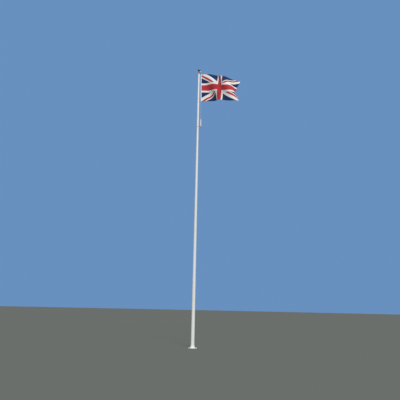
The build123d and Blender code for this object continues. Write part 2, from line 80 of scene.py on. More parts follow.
camera_data = bpy.data.cameras.new("camera")
camera_data.sensor_width = sensor
camera_data.lens = sensor * focal_share
camera_data.clip_end = sees_to
camera = linked("camera", camera_data)
turn = Matrix((right, up, -forward)).transposed().to_4x4()
camera.matrix_world = Matrix.Translation(eye_place) @ turn
bpy.context.scene.camera = camera
print("camera: lens", round(camera_data.lens, 2), "mm at", tuple(round(c, 2) for c in eye_place))

# %% [markdown]
# A node tree is quicker to read when each node is one line.
# `place` adds a node, sets its options and feeds its sockets, by number or by name, with a plain
# value or with another node's output. It serves shader trees and Geometry Nodes trees alike.
# `calc` and `times` are one step of arithmetic, and their last two relatives work on vectors.

# %% Helpers for node trees
def place(tree, kind, feeds=None, **options):
    """Adds a node, sets its options and feeds its sockets with values or with outputs."""
    made = tree.nodes.new(kind)
    for option, value in options.items():
        setattr(made, option, value)
    for socket, feed in (feeds or {}).items():
        if isinstance(feed, bpy.types.NodeSocket):
            tree.links.new(feed, made.inputs[socket])
        else:
            made.inputs[socket].default_value = feed
    return made


def calc(tree, operation, *values):
    """One step of arithmetic on numbers."""
    feeds = dict(enumerate(values))
    return place(tree, "ShaderNodeMath", feeds, operation=operation).outputs[0]


def times(tree, product, *factors):
    """A product of numbers, with one node for every factor after the first."""
    for factor in factors:
        product = calc(tree, "MULTIPLY", product, factor)
    return product


def vector_calc(tree, operation, *values):
    """One step of arithmetic on vectors."""
    feeds = dict(enumerate(values))
    return place(tree, "ShaderNodeVectorMath", feeds, operation=operation).outputs["Vector"]


def scaled_vector(tree, vector, scale):
    """A vector times a number."""
    feeds = {"Vector": vector, "Scale": scale}
    return place(tree, "ShaderNodeVectorMath", feeds, operation="SCALE").outputs["Vector"]


print("helpers: place, calc, times, vector_calc, scaled_vector")

# %% [markdown]
# The stage is a dark grey floor before an even blue backdrop, both dark enough for white to stand
# out. The floor is a wide disc, so its far edge lies level from every side; a square would show
# its corners. It is fully matt: with any shine it would glow towards the sun when it is seen at
# a low angle, and hide the shaded side of the shaft.

# %% Floor
floor_reach = 380
floor_sides = 160
floor_tone = (0.16, 0.17, 0.16, 1)


def circle(radius, sides, height=0.0, start=0.0):
    """Points round the Z axis; the start is the first one's share of a step."""
    bearings = [2 * pi * (k + start) / sides for k in range(sides)]
    return [(radius * cos(bearing), radius * sin(bearing), height) for bearing in bearings]


floor_mesh = bpy.data.meshes.new("floor")
floor_mesh.from_pydata(circle(floor_reach, floor_sides), [], [tuple(range(floor_sides))])
floor_paint = bpy.data.materials.new("floor_paint")
floor_paint.use_nodes = True
floor_shader = floor_paint.node_tree.nodes["Principled BSDF"]
floor_shader.inputs["Base Color"].default_value = floor_tone
floor_shader.inputs["Roughness"].default_value = 1.0
floor_shader.inputs["Specular IOR Level"].default_value = 0.0
floor_mesh.materials.append(floor_paint)
floor = linked("floor", floor_mesh)
print("floor:", 2 * floor_reach, "m wide")

# %% [markdown]
# A broad sun lamp shines from behind the camera and a little to its right, as in the photograph,
# where the shaft is as light on one side as on the other. Its large angle keeps the shadows soft.
# The world fills the rest. The backdrop's blue is shown to camera, glossy and transmission rays
# only, so metal mirrors it and yet it adds no light to the object.

# %% Light and backdrop
sun_strength = 2.0
sun_width = radians(24)
sun_tone = (1.0, 0.97, 0.92)
sun_from = Vector((0.16, -0.86, 0.58))
fill_strength = 0.62
fill_tone = (0.92, 0.96, 1.0, 1)
backdrop_tone = (0.14, 0.28, 0.52, 1)

sun_data = bpy.data.lights.new("sun", "SUN")
sun_data.energy = sun_strength
sun_data.angle = sun_width
sun_data.color = sun_tone
sun = linked("sun", sun_data)
sun.rotation_euler = sun_from.to_track_quat("Z", "Y").to_euler()

world = bpy.data.worlds.new("plain_backdrop")
bpy.context.scene.world = world
world.use_nodes = True
world_tree = world.node_tree
world_tree.nodes.clear()
rays = place(world_tree, "ShaderNodeLightPath")
seen = calc(world_tree, "MAXIMUM", rays.outputs["Is Camera Ray"], rays.outputs["Is Glossy Ray"])
seen = calc(world_tree, "MAXIMUM", seen, rays.outputs["Is Transmission Ray"])
fill = place(world_tree, "ShaderNodeBackground", {"Color": fill_tone, "Strength": fill_strength})
backdrop = place(world_tree, "ShaderNodeBackground", {"Color": backdrop_tone, "Strength": 1.0})
feeds = {0: seen, 1: fill.outputs[0], 2: backdrop.outputs[0]}
mixed = place(world_tree, "ShaderNodeMixShader", feeds)
place(world_tree, "ShaderNodeOutputWorld", {"Surface": mixed.outputs[0]})
bpy.context.scene.view_settings.view_transform = "Standard"
print("light: sun", sun_strength, "and fill", fill_strength)

# %% [markdown]
# Finishes share one build: a Principled shader whose colour runs between two tones by a noise,
# a roughness that varies with the same noise, and a fine bump for the grain of the surface.
# Each finish below then adds what is its own, such as streaks, weave or wear.
# Object coordinates are in metres here, so a scale of 400 gives a grain of about 2.5 mm.

# %% A shared start for the finishes
mottle_detail = 5.0
mottle_roughness = 0.6
mottle_ends = (0.3, 0.68)
grain_detail = 3.0
grain_depth = 0.0004


def noise(tree, where, scale, detail, roughness=0.5):
    """A cloudy number from 0 to 1, mostly near the middle."""
    feeds = {"Vector": where, "Scale": scale, "Detail": detail, "Roughness": roughness}
    return place(tree, "ShaderNodeTexNoise", feeds).outputs["Fac"]


def finish(
    name, dark, light, scale, rough, metal=0.0, grain=0.0, grain_scale=900, stretch=(1, 1, 1)
):
    """A material that mottles between two tones, with its tree, shader, places and tone."""
    material = bpy.data.materials.new(name)
    material.use_nodes = True
    tree = material.node_tree
    shader = tree.nodes["Principled BSDF"]
    where = place(tree, "ShaderNodeTexCoord").outputs["Object"]
    stretched = place(tree, "ShaderNodeMapping", {"Vector": where, "Scale": stretch}).outputs[0]
    mottle = noise(tree, stretched, scale, mottle_detail, mottle_roughness)
    ramp = place(tree, "ShaderNodeValToRGB", {"Fac": mottle})
    for end, position, tone in zip(ramp.color_ramp.elements, mottle_ends, (dark, light)):
        end.position = position
        end.color = (*tone, 1)
    tree.links.new(ramp.outputs["Color"], shader.inputs["Base Color"])
    spread = calc(tree, "MULTIPLY_ADD", mottle, rough[1] - rough[0], rough[0])
    tree.links.new(spread, shader.inputs["Roughness"])
    shader.inputs["Metallic"].default_value = metal
    if grain:
        pits = noise(tree, where, grain_scale, grain_detail)
        feeds = {"Height": pits, "Strength": grain, "Distance": grain_depth}
        bump = place(tree, "ShaderNodeBump", feeds)
        tree.links.new(bump.outputs[0], shader.inputs["Normal"])
    return material, tree, shader, where, ramp.outputs["Color"]


def tint(tree, shader, base, share, tone):
    """Mixes a tone over the colour so far, by a share from 0 to 1, and hands on the result."""
    mix = place(tree, "ShaderNodeMix", data_type="RGBA", blend_type="MIX")
    tree.links.new(share, mix.inputs["Factor"])
    tree.links.new(base, mix.inputs[6])
    mix.inputs[7].default_value = (*tone, 1)
    tree.links.new(mix.outputs[2], shader.inputs["Base Color"])
    return mix.outputs[2]


def band(tree, value, low, high, bottom=0.0, top=1.0):
    """A number mapped from one range to another and held inside it."""
    feeds = {"Value": value, "From Min": low, "From Max": high, "To Min": bottom, "To Max": top}
    return place(tree, "ShaderNodeMapRange", feeds, clamp=True).outputs["Result"]


print("finish helpers: noise, finish, tint, band")

# %% [markdown]
# The shaft is glass fibre with a white gelcoat: a thin clear gloss over a chalky white that rain
# streaks downwards. The streaks are a noise stretched along the height, strongest just under the
# truck and near the foot, where splashes dry. The coat could be one flat white, but a tube twelve
# metres tall then looks like paper.

# %% Gelcoat of the shaft
streak_scale = 90.0
streak_stretch = 0.018
streak_detail = 2.0
streak_ends = (0.52, 0.78)
foot_fades, foot_least = (0.1, 0.9), 0.1
head_grows, head_most = (11.2, 11.94), 0.6
streak_share = 0.35
streak_tone = (0.45, 0.46, 0.40)

gelcoat, tree, shader, where, tone = finish(
    "white_gelcoat",
    (0.77, 0.79, 0.78),
    (0.84, 0.85, 0.83),
    26,
    (0.3, 0.42),
    grain=0.12,
    grain_scale=420,
    stretch=(1, 1, 0.05),
)
height = place(tree, "ShaderNodeSeparateXYZ", {0: where}).outputs["Z"]
feeds = {"Vector": where, "Scale": (1, 1, streak_stretch)}
drawn_out = place(tree, "ShaderNodeMapping", feeds).outputs[0]
streak = noise(tree, drawn_out, streak_scale, streak_detail)
near_foot = band(tree, height, *foot_fades, 1.0, foot_least)
under_truck = band(tree, height, *head_grows, 0.0, head_most)
where_dirty = calc(tree, "MAXIMUM", near_foot, under_truck)
grime = times(tree, band(tree, streak, *streak_ends), where_dirty)
tint(tree, shader, tone, times(tree, grime, streak_share), streak_tone)
shader.inputs["Coat Weight"].default_value = 0.35
shader.inputs["Coat Roughness"].default_value = 0.22
print("gelcoat: streaks", round(1 / streak_scale * 1000), "mm wide")

# %% [markdown]
# The base shoe is an iron casting under thick white paint. A sand casting keeps a fine grain that
# paint rounds but does not hide. The paint is chipped in places along the flange's rim, where
# boots and tools catch it: the distance from that rim, worked out from the place of each point,
# makes a narrow band, and a fine noise breaks the band into chips. Rain splashes dirt onto the
# lowest part, which a second, wider band by height shows as a faint stain.

# %% Painted casting and hatch paint
flange_rim = Vector((0.1718, 0, 0.0172))
chip_reach = 0.007
chip_scale, chip_detail, chip_roughness = 130.0, 9.0, 0.7
chip_starts, chip_full = 0.375, 0.40
chip_tone = (0.20, 0.19, 0.18)
splash_height = 0.05
splash_scale, splash_detail = 18.0, 8.0
splash_share = 0.22
splash_tone = (0.46, 0.42, 0.35)


def slant(tree, one, other):
    """The long side over two numbers that stand square to each other."""
    squares = [calc(tree, "POWER", side, 2) for side in (one, other)]
    return calc(tree, "SQRT", calc(tree, "ADD", *squares))


paint, tree, shader, where, tone = finish(
    "white_paint",
    (0.79, 0.81, 0.80),
    (0.86, 0.87, 0.85),
    34,
    (0.38, 0.58),
    grain=0.5,
    grain_scale=700,
)
at = place(tree, "ShaderNodeSeparateXYZ", {0: where}).outputs
rim_out = calc(tree, "SUBTRACT", slant(tree, at["X"], at["Y"]), flange_rim.x)
rim_up = calc(tree, "SUBTRACT", at["Z"], flange_rim.z)
near_rim = band(tree, slant(tree, rim_out, rim_up), 0.0, chip_reach)
near_rim = calc(tree, "SUBTRACT", 1.0, near_rim)
patchy = noise(tree, where, chip_scale, chip_detail, chip_roughness)
chips = band(tree, times(tree, near_rim, patchy), chip_starts, chip_full)
low = calc(tree, "SUBTRACT", 1.0, band(tree, at["Z"], 0.0, splash_height))
splash = times(tree, low, noise(tree, where, splash_scale, splash_detail), splash_share)
stained = tint(tree, shader, tone, splash, splash_tone)
tint(tree, shader, stained, chips, chip_tone)
shader.inputs["Coat Weight"].default_value = 0.2
shader.inputs["Coat Roughness"].default_value = 0.3
print("paint: chips within", chip_reach * 1000, "mm of the flange's rim")

# %% [markdown]
# Metals differ by tone and by how they scatter light. The truck is a rough casting that the
# weather has turned a dark grey, the links and pins are stainless steel, the base fastenings are
# galvanised, which grows flat crystals, and the finial carries gold leaf that has dulled
# and darkened in patches. A Voronoi cell pattern makes the crystals.

# %% Metals
crystal_scale = 260.0
crystal_share = 0.5
crystal_tone = (0.70, 0.72, 0.74)
tarnish_scale, tarnish_detail = 55.0, 7.0
tarnish_ends = (0.56, 0.72)
tarnish_share = 0.7
tarnish_tone = (0.20, 0.10, 0.035)

cast_metal = finish(
    "cast_metal",
    (0.090, 0.088, 0.082),
    (0.165, 0.160, 0.148),
    95,
    (0.45, 0.62),
    metal=0.7,
    grain=0.8,
    grain_scale=500,
)[0]
steel = finish(
    "steel", (0.46, 0.46, 0.47), (0.62, 0.62, 0.62), 180, (0.22, 0.38), metal=1.0, grain=0.15
)[0]

galvanised, tree, shader, where, tone = finish(
    "galvanised", (0.42, 0.44, 0.45), (0.60, 0.62, 0.63), 90, (0.42, 0.6), metal=0.9, grain=0.3
)
crystals = place(tree, "ShaderNodeTexVoronoi", {"Vector": where, "Scale": crystal_scale})
shine = place(tree, "ShaderNodeSeparateColor", {0: crystals.outputs["Color"]}).outputs["Red"]
tint(tree, shader, tone, times(tree, shine, crystal_share), crystal_tone)

gilt, tree, shader, where, tone = finish(
    "gilt",
    (0.29, 0.18, 0.06),
    (0.47, 0.32, 0.12),
    30,
    (0.28, 0.46),
    metal=1.0,
    grain=0.2,
    grain_scale=300,
)
tarnish = band(tree, noise(tree, where, tarnish_scale, tarnish_detail), *tarnish_ends)
tint(tree, shader, tone, times(tree, tarnish, tarnish_share), tarnish_tone)
print("metals: cast, steel, galvanised, gilt")

# %% [markdown]
# Plastics are nylon and moulded polythene. The sheave is black nylon. The counterweight is a
# light grey that weather has dulled and the pole has scuffed, and the beads are off-white. The
# ferrule inside the pole is bare grey laminate, and the collar's sealant is a dull off-white.

# %% Plastics, laminate and sealant
scuff_scale, scuff_detail, scuff_roughness = 42.0, 9.0, 0.65
scuff_ends = (0.52, 0.74)
scuff_share = 0.25
scuff_tone = (0.55, 0.55, 0.50)

nylon = finish(
    "black_nylon", (0.018, 0.018, 0.02), (0.05, 0.05, 0.052), 120, (0.35, 0.5), grain=0.3
)[0]
laminate = finish(
    "grey_laminate", (0.20, 0.21, 0.21), (0.36, 0.37, 0.36), 80, (0.5, 0.7), grain=0.6
)[0]
white_plastic, tree, shader, where, tone = finish(
    "white_plastic", (0.62, 0.63, 0.61), (0.70, 0.70, 0.68), 40, (0.3, 0.45), grain=0.15
)
scuffed = noise(tree, where, scuff_scale, scuff_detail, scuff_roughness)
scuffs = band(tree, scuffed, *scuff_ends)
tint(tree, shader, tone, times(tree, scuffs, scuff_share), scuff_tone)
bead_plastic = finish(
    "bead_plastic", (0.72, 0.72, 0.69), (0.86, 0.86, 0.83), 150, (0.25, 0.4), grain=0.1
)[0]
sealant = finish(
    "sealant",
    (0.60, 0.61, 0.58),
    (0.70, 0.71, 0.68),
    70,
    (0.45, 0.6),
    grain=0.4,
    grain_scale=350,
)[0]
print("plastics: nylon, laminate, polythene, beads, sealant")

# %% [markdown]
# Rope and thread are polyester, white with the grey that hands and rain leave. Their braid is
# real geometry here, so the finish only adds fibres: a fine noise and a soft sheen.
# Canvas is woven, and its threads are too fine for geometry, so two sine waves over the piece's
# own flat map, one for warp and one for weft, make a bump. Object coordinates would slide where
# the canvas folds.

# %% Rope, thread and canvas
rope_fibre, tree, shader = finish(
    "rope",
    (0.56, 0.56, 0.52),
    (0.78, 0.78, 0.74),
    140,
    (0.75, 0.9),
    grain=0.7,
    grain_scale=2600,
)[:3]
shader.inputs["Sheen Weight"].default_value = 0.2
thread = finish(
    "thread", (0.70, 0.70, 0.67), (0.82, 0.82, 0.79), 300, (0.6, 0.75), grain=0.2
)[0]
canvas_threads = 700
thread_depth_in_weave = 0.0003


def flat_place(tree):
    """The flat place of a point of cloth, as the outputs X and Y, in metres."""
    flat = place(tree, "ShaderNodeUVMap", uv_map="flat").outputs["UV"]
    return place(tree, "ShaderNodeSeparateXYZ", {0: flat}).outputs


def weave(tree, shader, count, strength):
    """A plain weave over the flat map: rows of warp and weft as a fine bump."""
    flat = flat_place(tree)
    warp = calc(tree, "SINE", times(tree, flat["X"], count * 2 * pi))
    weft = calc(tree, "SINE", times(tree, flat["Y"], count * 2 * pi))
    crossing = times(tree, warp, weft)
    feeds = {"Height": crossing, "Strength": strength, "Distance": thread_depth_in_weave}
    bump = place(tree, "ShaderNodeBump", feeds)
    tree.links.new(bump.outputs[0], shader.inputs["Normal"])


canvas, tree, shader = finish(
    "canvas", (0.72, 0.71, 0.66), (0.82, 0.81, 0.77), 60, (0.8, 0.92)
)[:3]
weave(tree, shader, canvas_threads, 0.5)
shader.inputs["Sheen Weight"].default_value = 0.15
print("rope, thread and canvas, with", canvas_threads, "threads a metre in the canvas")

# %% [markdown]
# The flag is sewn from woven polyester bunting in three colours. Each colour is its own cloth and
# its own material, as on a real sewn flag, so an edge between two colours is a seam, not a
# printed line. The weave is finer than canvas, and the cloth has a faint sheen where it turns.

# %% Bunting in three colours
bunting_threads = 1100


def bunting(name, dark, light):
    """Woven flag cloth of one colour, a little bleached and mottled."""
    material, tree, shader = finish(name, dark, light, 7, (0.68, 0.82))[:3]
    weave(tree, shader, bunting_threads, 0.35)
    shader.inputs["Sheen Weight"].default_value = 0.06
    shader.inputs["Sheen Roughness"].default_value = 0.4
    shader.inputs["Specular IOR Level"].default_value = 0.2
    return material


red_cloth = bunting("red_cloth", (0.48, 0.028, 0.040), (0.60, 0.042, 0.055))
white_cloth = bunting("white_cloth", (0.80, 0.80, 0.80), (0.86, 0.86, 0.86))
navy_cloth = bunting("navy_cloth", (0.010, 0.020, 0.085), (0.017, 0.034, 0.125))
cloths = (red_cloth, white_cloth, navy_cloth)
print("bunting:", [cloth.name for cloth in cloths])

# %% [markdown]
# The frame's own pieces take their finishes by material slot. Their shapes are already right, so
# only the material changes, and the mesh is left alone. The list runs by finish, as a workshop
# would lay the parts out for painting.

# %% Finishes of the frame's pieces
finishes = (
    (paint, ("base_shoe", "hatch_frame")),
    (gelcoat, ("pole_lower", "pole_upper", "hatch_door")),
    (laminate, ("pole_ferrule",)),
    (cast_metal, ("head_plug", "truck_body", "finial_stem")),
    (gilt, ("finial",)),
    (nylon, ("sheave",)),
    (steel, ("hatch_hinge", "hatch_lock", "truck_spindle", "sheave_pin", "sling")),
    (steel, ("top_link", "foot_link", "weight_top_eye", "weight_foot_eye")),
    (rope_fibre, ("halyard", "hoist_rope")),
    (white_plastic, ("weight_top_cap", "weight_body", "weight_foot_cap")),
    (bead_plastic, ("sling_beads",)),
)
finished = [(nodes[name], material) for material, names in finishes for name in names]
for piece, material in finished:
    if not piece.material_slots:
        piece.data.materials.append(None)
    for slot in piece.material_slots:
        slot.material = material
print("finished:", len(finished), "of", len(nodes), "nodes; the rest are replaced below")

# %% [markdown]
# The halyard falls from the sheave to the counterweight in one straight line that leans a little
# away from the pole. Everything soft hangs on that line, so its places are written once: a drop
# down the line, a distance out from the pole, and a distance to the side. The two links of the
# frame show whether the line is right: their middles have to lie on it.

# %% Places on the halyard's line
sheave_radius = 0.042
sheave_height = 12.0053
line_length = 2.7
line_offset = 0.048
rope_size = 0.008

line_lean = atan2(line_offset, line_length)
line_down = Vector((sin(line_lean), 0, -cos(line_lean)))
line_out = Vector((cos(line_lean), 0, sin(line_lean)))
line_side = Vector((0, 1, 0))
line_top = Vector((sheave_radius, 0, sheave_height)) + line_out * sheave_radius

link_drops = {"top_link": 0.0672, "foot_link": 1.5032}
hoist_top = 0.100
tail_top = 1.536
tail_foot = 2.2938


def on_line(drop, out=0.0, side=0.0):
    """Point at a drop below the sheave, moved out from the pole and to the side."""
    return line_top + line_down * drop + line_out * out + line_side * side


for link, drop in link_drops.items():
    low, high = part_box(link)
    off_line = (low + high) / 2 - on_line(drop)
    print(link, "lies", round(off_line.length * 1000, 1), "mm off the line")

# %% [markdown]
# Geometry Nodes make what repeats. Each tree takes a geometry and some named sizes, and ends in
# Realize Instances and Set Material, so that the result is plain mesh.
# `start_tree` and `end_tree` write those two ends once. `grown` sets a modifier's inputs by the
# sockets' identifiers, reads the evaluated result as a mesh, and deletes the object it grew on.

# %% Helpers for Geometry Nodes
def start_tree(name, **sizes):
    """A geometry tree whose named inputs are sizes (float), counts (int), objects or a material."""
    kinds = {float: "NodeSocketFloat", int: "NodeSocketInt", "object": "NodeSocketObject"}
    tree = bpy.data.node_groups.new(name, "GeometryNodeTree")
    tree.interface.new_socket("Geometry", in_out="INPUT", socket_type="NodeSocketGeometry")
    for size, kind in sizes.items():
        tree.interface.new_socket(size, in_out="INPUT", socket_type=kinds[kind])
    tree.interface.new_socket("Material", in_out="INPUT", socket_type="NodeSocketMaterial")
    tree.interface.new_socket("Geometry", in_out="OUTPUT", socket_type="NodeSocketGeometry")
    given = tree.nodes.new("NodeGroupInput").outputs
    return tree, given


def end_tree(tree, given, geometry):
    """Ends a tree: everything realised, smooth or flat as it is, and given its material."""
    real = place(tree, "GeometryNodeRealizeInstances", {0: geometry})
    feeds = {"Geometry": real.outputs[0], "Material": given["Material"]}
    finished = place(tree, "GeometryNodeSetMaterial", feeds)
    place(tree, "NodeGroupOutput", {0: finished.outputs[0]})


def grown(name, base, tree, material, **sizes):
    """A plain mesh object that a tree grows on a base object, which is deleted afterwards."""
    modifier = base.modifiers.new("grow", "NODES")
    modifier.node_group = tree
    for socket in tree.interface.items_tree:
        if socket.in_out == "INPUT" and socket.name in sizes:
            modifier[socket.identifier] = sizes[socket.name]
        if socket.in_out == "INPUT" and socket.name == "Material":
            modifier[socket.identifier] = material
    graph = bpy.context.evaluated_depsgraph_get()
    mesh = bpy.data.meshes.new_from_object(base.evaluated_get(graph), depsgraph=graph)
    mesh.name = name
    mesh.materials.clear()
    mesh.materials.append(material)
    mesh.polygons.foreach_set("material_index", [0] * len(mesh.polygons))
    bpy.data.objects.remove(base)
    made = linked(name, mesh)
    print(name, "grew", len(mesh.polygons), "faces")
    return made


def line_curve(name, points, smooth=False):
    """An open curve object through points, straight between them or as a smooth NURBS."""
    curve = bpy.data.curves.new(name, "CURVE")
    curve.dimensions = "3D"
    curve.resolution_u = 24
    spline = curve.splines.new("NURBS" if smooth else "POLY")
    spline.points.add(len(points) - 1)
    for knot, point in zip(spline.points, points):
        knot.co = (*point, 1)
    if smooth:
        spline.order_u = 3
        spline.use_endpoint_u = True
    return linked(name, curve)


print("trees: start_tree, end_tree, grown, line_curve")

# %% [markdown]
# A braided rope is two families of strands that wind round it in opposite directions and pass
# over and under each other. The tree copies the rope's path once a strand, winds each copy round
# it, and lets its distance from the middle rise and fall, once for every second strand it meets,
# with the other family in the opposite phase.
# A twisted texture on a plain tube would be lighter, but it goes flat against the light.

# %% Strands of the braid tree
braid, given = start_tree(
    "Braid",
    **{
        "Right strands": int,
        "Left strands": int,
        "Pitch": float,
        "Winding radius": float,
        "Strand radius": float,
        "Lift": float,
        "Core radius": float,
        "Step": float,
    },
)


def stepped(tree, path, step):
    """A path cut into even steps of a length."""
    feeds = {"Curve": path, "Length": step}
    return place(tree, "GeometryNodeResampleCurve", feeds, mode="LENGTH").outputs[0]


strand_count = calc(braid, "ADD", given["Right strands"], given["Left strands"])
feeds = {"Geometry": stepped(braid, given["Geometry"], given["Step"]), "Amount": strand_count}
copies = place(braid, "GeometryNodeDuplicateElements", feeds, domain="SPLINE").outputs
number = copies["Duplicate Index"]
is_left = calc(braid, "GREATER_THAN", calc(braid, "ADD", number, 0.5), given["Right strands"])
hand = calc(braid, "MULTIPLY_ADD", is_left, -2.0, 1.0)
along = place(braid, "GeometryNodeSplineParameter").outputs["Length"]
turned_by = times(braid, calc(braid, "DIVIDE", along, given["Pitch"]), 2 * pi)
first = times(braid, calc(braid, "DIVIDE", number, given["Right strands"]), 2 * pi)
angle = calc(braid, "ADD", times(braid, hand, turned_by), first)
weaving = calc(braid, "COSINE", times(braid, turned_by, given["Right strands"]))
lifting = times(braid, weaving, hand, given["Lift"])
reach = calc(braid, "ADD", lifting, given["Winding radius"])
print("braid tree: strands wound with", len(braid.nodes), "nodes so far")

# %% [markdown]
# Each copy now moves off the path by its angle and reach, along the path's own normal and the
# direction square to it. A tube is drawn along every strand, and a round core closes the small
# gaps. The same tree with a single strand and a tiny pitch makes a whipping, the thread wound
# tightly round a spliced rope.

# %% Tubes of the braid tree
strand_sides = 5
core_sides = 10
core_step = 0.004


def tube(tree, path, radius, sides):
    """A closed round tube along a path."""
    feeds = {"Resolution": sides, "Radius": radius}
    section = place(tree, "GeometryNodeCurvePrimitiveCircle", feeds).outputs[0]
    feeds = {"Curve": path, "Profile Curve": section, "Fill Caps": True}
    return place(tree, "GeometryNodeCurveToMesh", feeds).outputs[0]


tangent = place(braid, "GeometryNodeInputTangent").outputs[0]
normal = place(braid, "GeometryNodeInputNormal").outputs[0]
square_to_both = vector_calc(braid, "CROSS_PRODUCT", tangent, normal)
one = scaled_vector(braid, normal, times(braid, calc(braid, "COSINE", angle), reach))
two = scaled_vector(braid, square_to_both, times(braid, calc(braid, "SINE", angle), reach))
feeds = {"Geometry": copies["Geometry"], "Offset": vector_calc(braid, "ADD", one, two)}
wound = place(braid, "GeometryNodeSetPosition", feeds).outputs[0]
core_path = stepped(braid, given["Geometry"], core_step)
both = place(braid, "GeometryNodeJoinGeometry")
braid.links.new(tube(braid, wound, given["Strand radius"], strand_sides), both.inputs[0])
braid.links.new(tube(braid, core_path, given["Core radius"], core_sides), both.inputs[0])
end_tree(braid, given, both.outputs[0])
print("braid tree:", len(braid.nodes), "nodes")

# %% [markdown]
# The tail is the rope between the flag's foot and the counterweight, which keeps it taut. It is
# the only rope here with an end that hangs free of the pole. It runs down the line between its two
# splices, braided at the rope's diameter.

# %% Tail rope
strands_a_hand = 4
braid_pitch = 0.026
strand_radius = 0.00122
braid_lift = 0.0004
braid_step = 0.0011

tail_points = [on_line(tail_top), on_line((tail_top + tail_foot) / 2), on_line(tail_foot)]
tail_line = line_curve("tail_line", tail_points, smooth=True)
graph = bpy.context.evaluated_depsgraph_get()
tail_path = bpy.data.meshes.new_from_object(tail_line.evaluated_get(graph))


def braid_sizes(size):
    """The braid tree's sizes for a rope of a given diameter."""
    winding = size / 2 - strand_radius - braid_lift
    return {
        "Right strands": strands_a_hand,
        "Left strands": strands_a_hand,
        "Pitch": braid_pitch,
        "Winding radius": winding,
        "Strand radius": strand_radius,
        "Lift": braid_lift,
        "Core radius": winding,
        "Step": braid_step,
    }


tail = grown("tail_rope_braid", tail_line, braid, rope_fibre, **braid_sizes(rope_size))
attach(tail, "truck")
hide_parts("tail_rope")
print("tail rope:", round((tail_points[0] - tail_points[-1]).length, 3), "m long")

# %% [markdown]
# Each end of a rope turns back on itself round a link and is spliced: a loop, then a throat where
# the rope is whipped with thread. A loop could be a plain ring, but a rope's eye is drawn out
# towards its throat like a drop. The path is a round bend that runs into two legs lying side by
# side, and the braid tree makes the rope of it.

# %% Spliced eyes
eye_radius = 0.009
eye_rope = 0.007
bend_opens = radians(40)
bend_points = 22
throat_points = ((0.0034, 0.0092), (0.0016, 0.0120), (0.0009, 0.0165))


def spliced_eye(node, drop, throat):
    """A rope's eye at a drop, its throat upwards (1) or downwards (-1)."""
    flat = [(out, rise) for out, rise in reversed(throat_points)]
    for index in range(bend_points + 1):
        angle = bend_opens + (2 * pi - 2 * bend_opens) * index / bend_points
        flat.append((eye_radius * sin(angle), eye_radius * cos(angle)))
    flat += [(-out, rise) for out, rise in throat_points]
    path = line_curve(node + "_path", [on_line(drop - throat * rise, out) for out, rise in flat])
    loop = grown(node + "_rope", path, braid, rope_fibre, **braid_sizes(eye_rope))
    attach(loop, "truck")
    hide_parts(node)


print("splices: an eye", eye_radius * 2000, "mm wide to the middle of its rope")

# %% [markdown]
# A whipping is thread wound tightly round the throat, so that the splice can't draw out. It is
# the braid tree again, with one strand whose pitch is the thread's own width. Each eye is listed
# with its drop down the line and the way its throat points, and is spliced and then whipped.

# %% Whippings
whip_thread = 0.0005
whip_radius = 0.0047
whip_turns = 7
whip_start = 0.0104
steps_a_thread = 8

whip_end = whip_start + whip_turns * 2 * whip_thread
whip_sizes = {
    "Right strands": 1,
    "Left strands": 0,
    "Pitch": 2 * whip_thread,
    "Winding radius": whip_radius,
    "Strand radius": whip_thread,
    "Lift": 0.0,
    "Core radius": whip_radius,
    "Step": whip_thread / steps_a_thread,
}
rope_eyes = (
    ("halyard_eye", 0.052, 1),
    ("hoist_top_eye", 0.082, -1),
    ("hoist_foot_eye", 1.488, 1),
    ("tail_top_eye", 1.518, -1),
    ("tail_foot_eye", 2.3118, 1),
)
for node, drop, throat in rope_eyes:
    spliced_eye(node, drop, throat)
    ends = [on_line(drop - throat * rise) for rise in (whip_start, whip_end)]
    path = line_curve(node + "_throat", ends)
    whip = grown(node + "_whipping", path, braid, thread, **whip_sizes)
    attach(whip, "truck")
print("spliced and whipped:", len(rope_eyes), "eyes")

# %% [markdown]
# The cloth flies from the hoist. Wind makes it turn away and back in a long wave with a ripple
# on it, and its weight makes the far end fall. The shape is written as two angles at every flat
# point of the cloth, yaw and pitch, and the surface is those angles summed up along the fly, so
# a metre of flat cloth stays a metre when it flies. The frame's solid uses the same rule.
# A cloth simulation could blow the flag too, but this rule can be steered to the picture.

# %% Shape of the flying cloth
flag_hoist = 1.370
flag_fly = 2.285
sleeve_width = 0.034
seam_gap = 0.0003
cloth_length = flag_fly - sleeve_width
wind_reach = 0.160
wave_length = 1.969
wave_slant = -0.236
ripple_slant = -0.573
yaw_rule = (-51.6, 66.0, -48.5, 68.8, 33.6, -0.465, 21.5, 0.339)
pitch_rule = (23.1, -13.0, 6.4, -21.2, -12.7, -0.467, 1.5, 0.469)
fly_steps = 600
hoist_steps = 120


def blown(rule, fly, hoist):
    """Angle of the cloth at flat points, in radians: a trend, a long wave and a short ripple."""
    at_hoist, by_fly, by_foot, by_corner, wave, wave_start, ripple, ripple_start = rule
    across, down = fly / cloth_length, hoist / flag_hoist
    trend = at_hoist + by_fly * across + by_foot * down + by_corner * across * down
    long_phase = 2 * pi * (fly + wave_slant * hoist - wave_start) / wave_length
    short_phase = 4 * pi * (fly + ripple_slant * hoist - ripple_start) / wave_length
    freedom = 1 - np.exp(-((fly / wind_reach) ** 2))
    return np.radians(trend + wave * np.sin(long_phase) + ripple * np.sin(short_phase)) * freedom


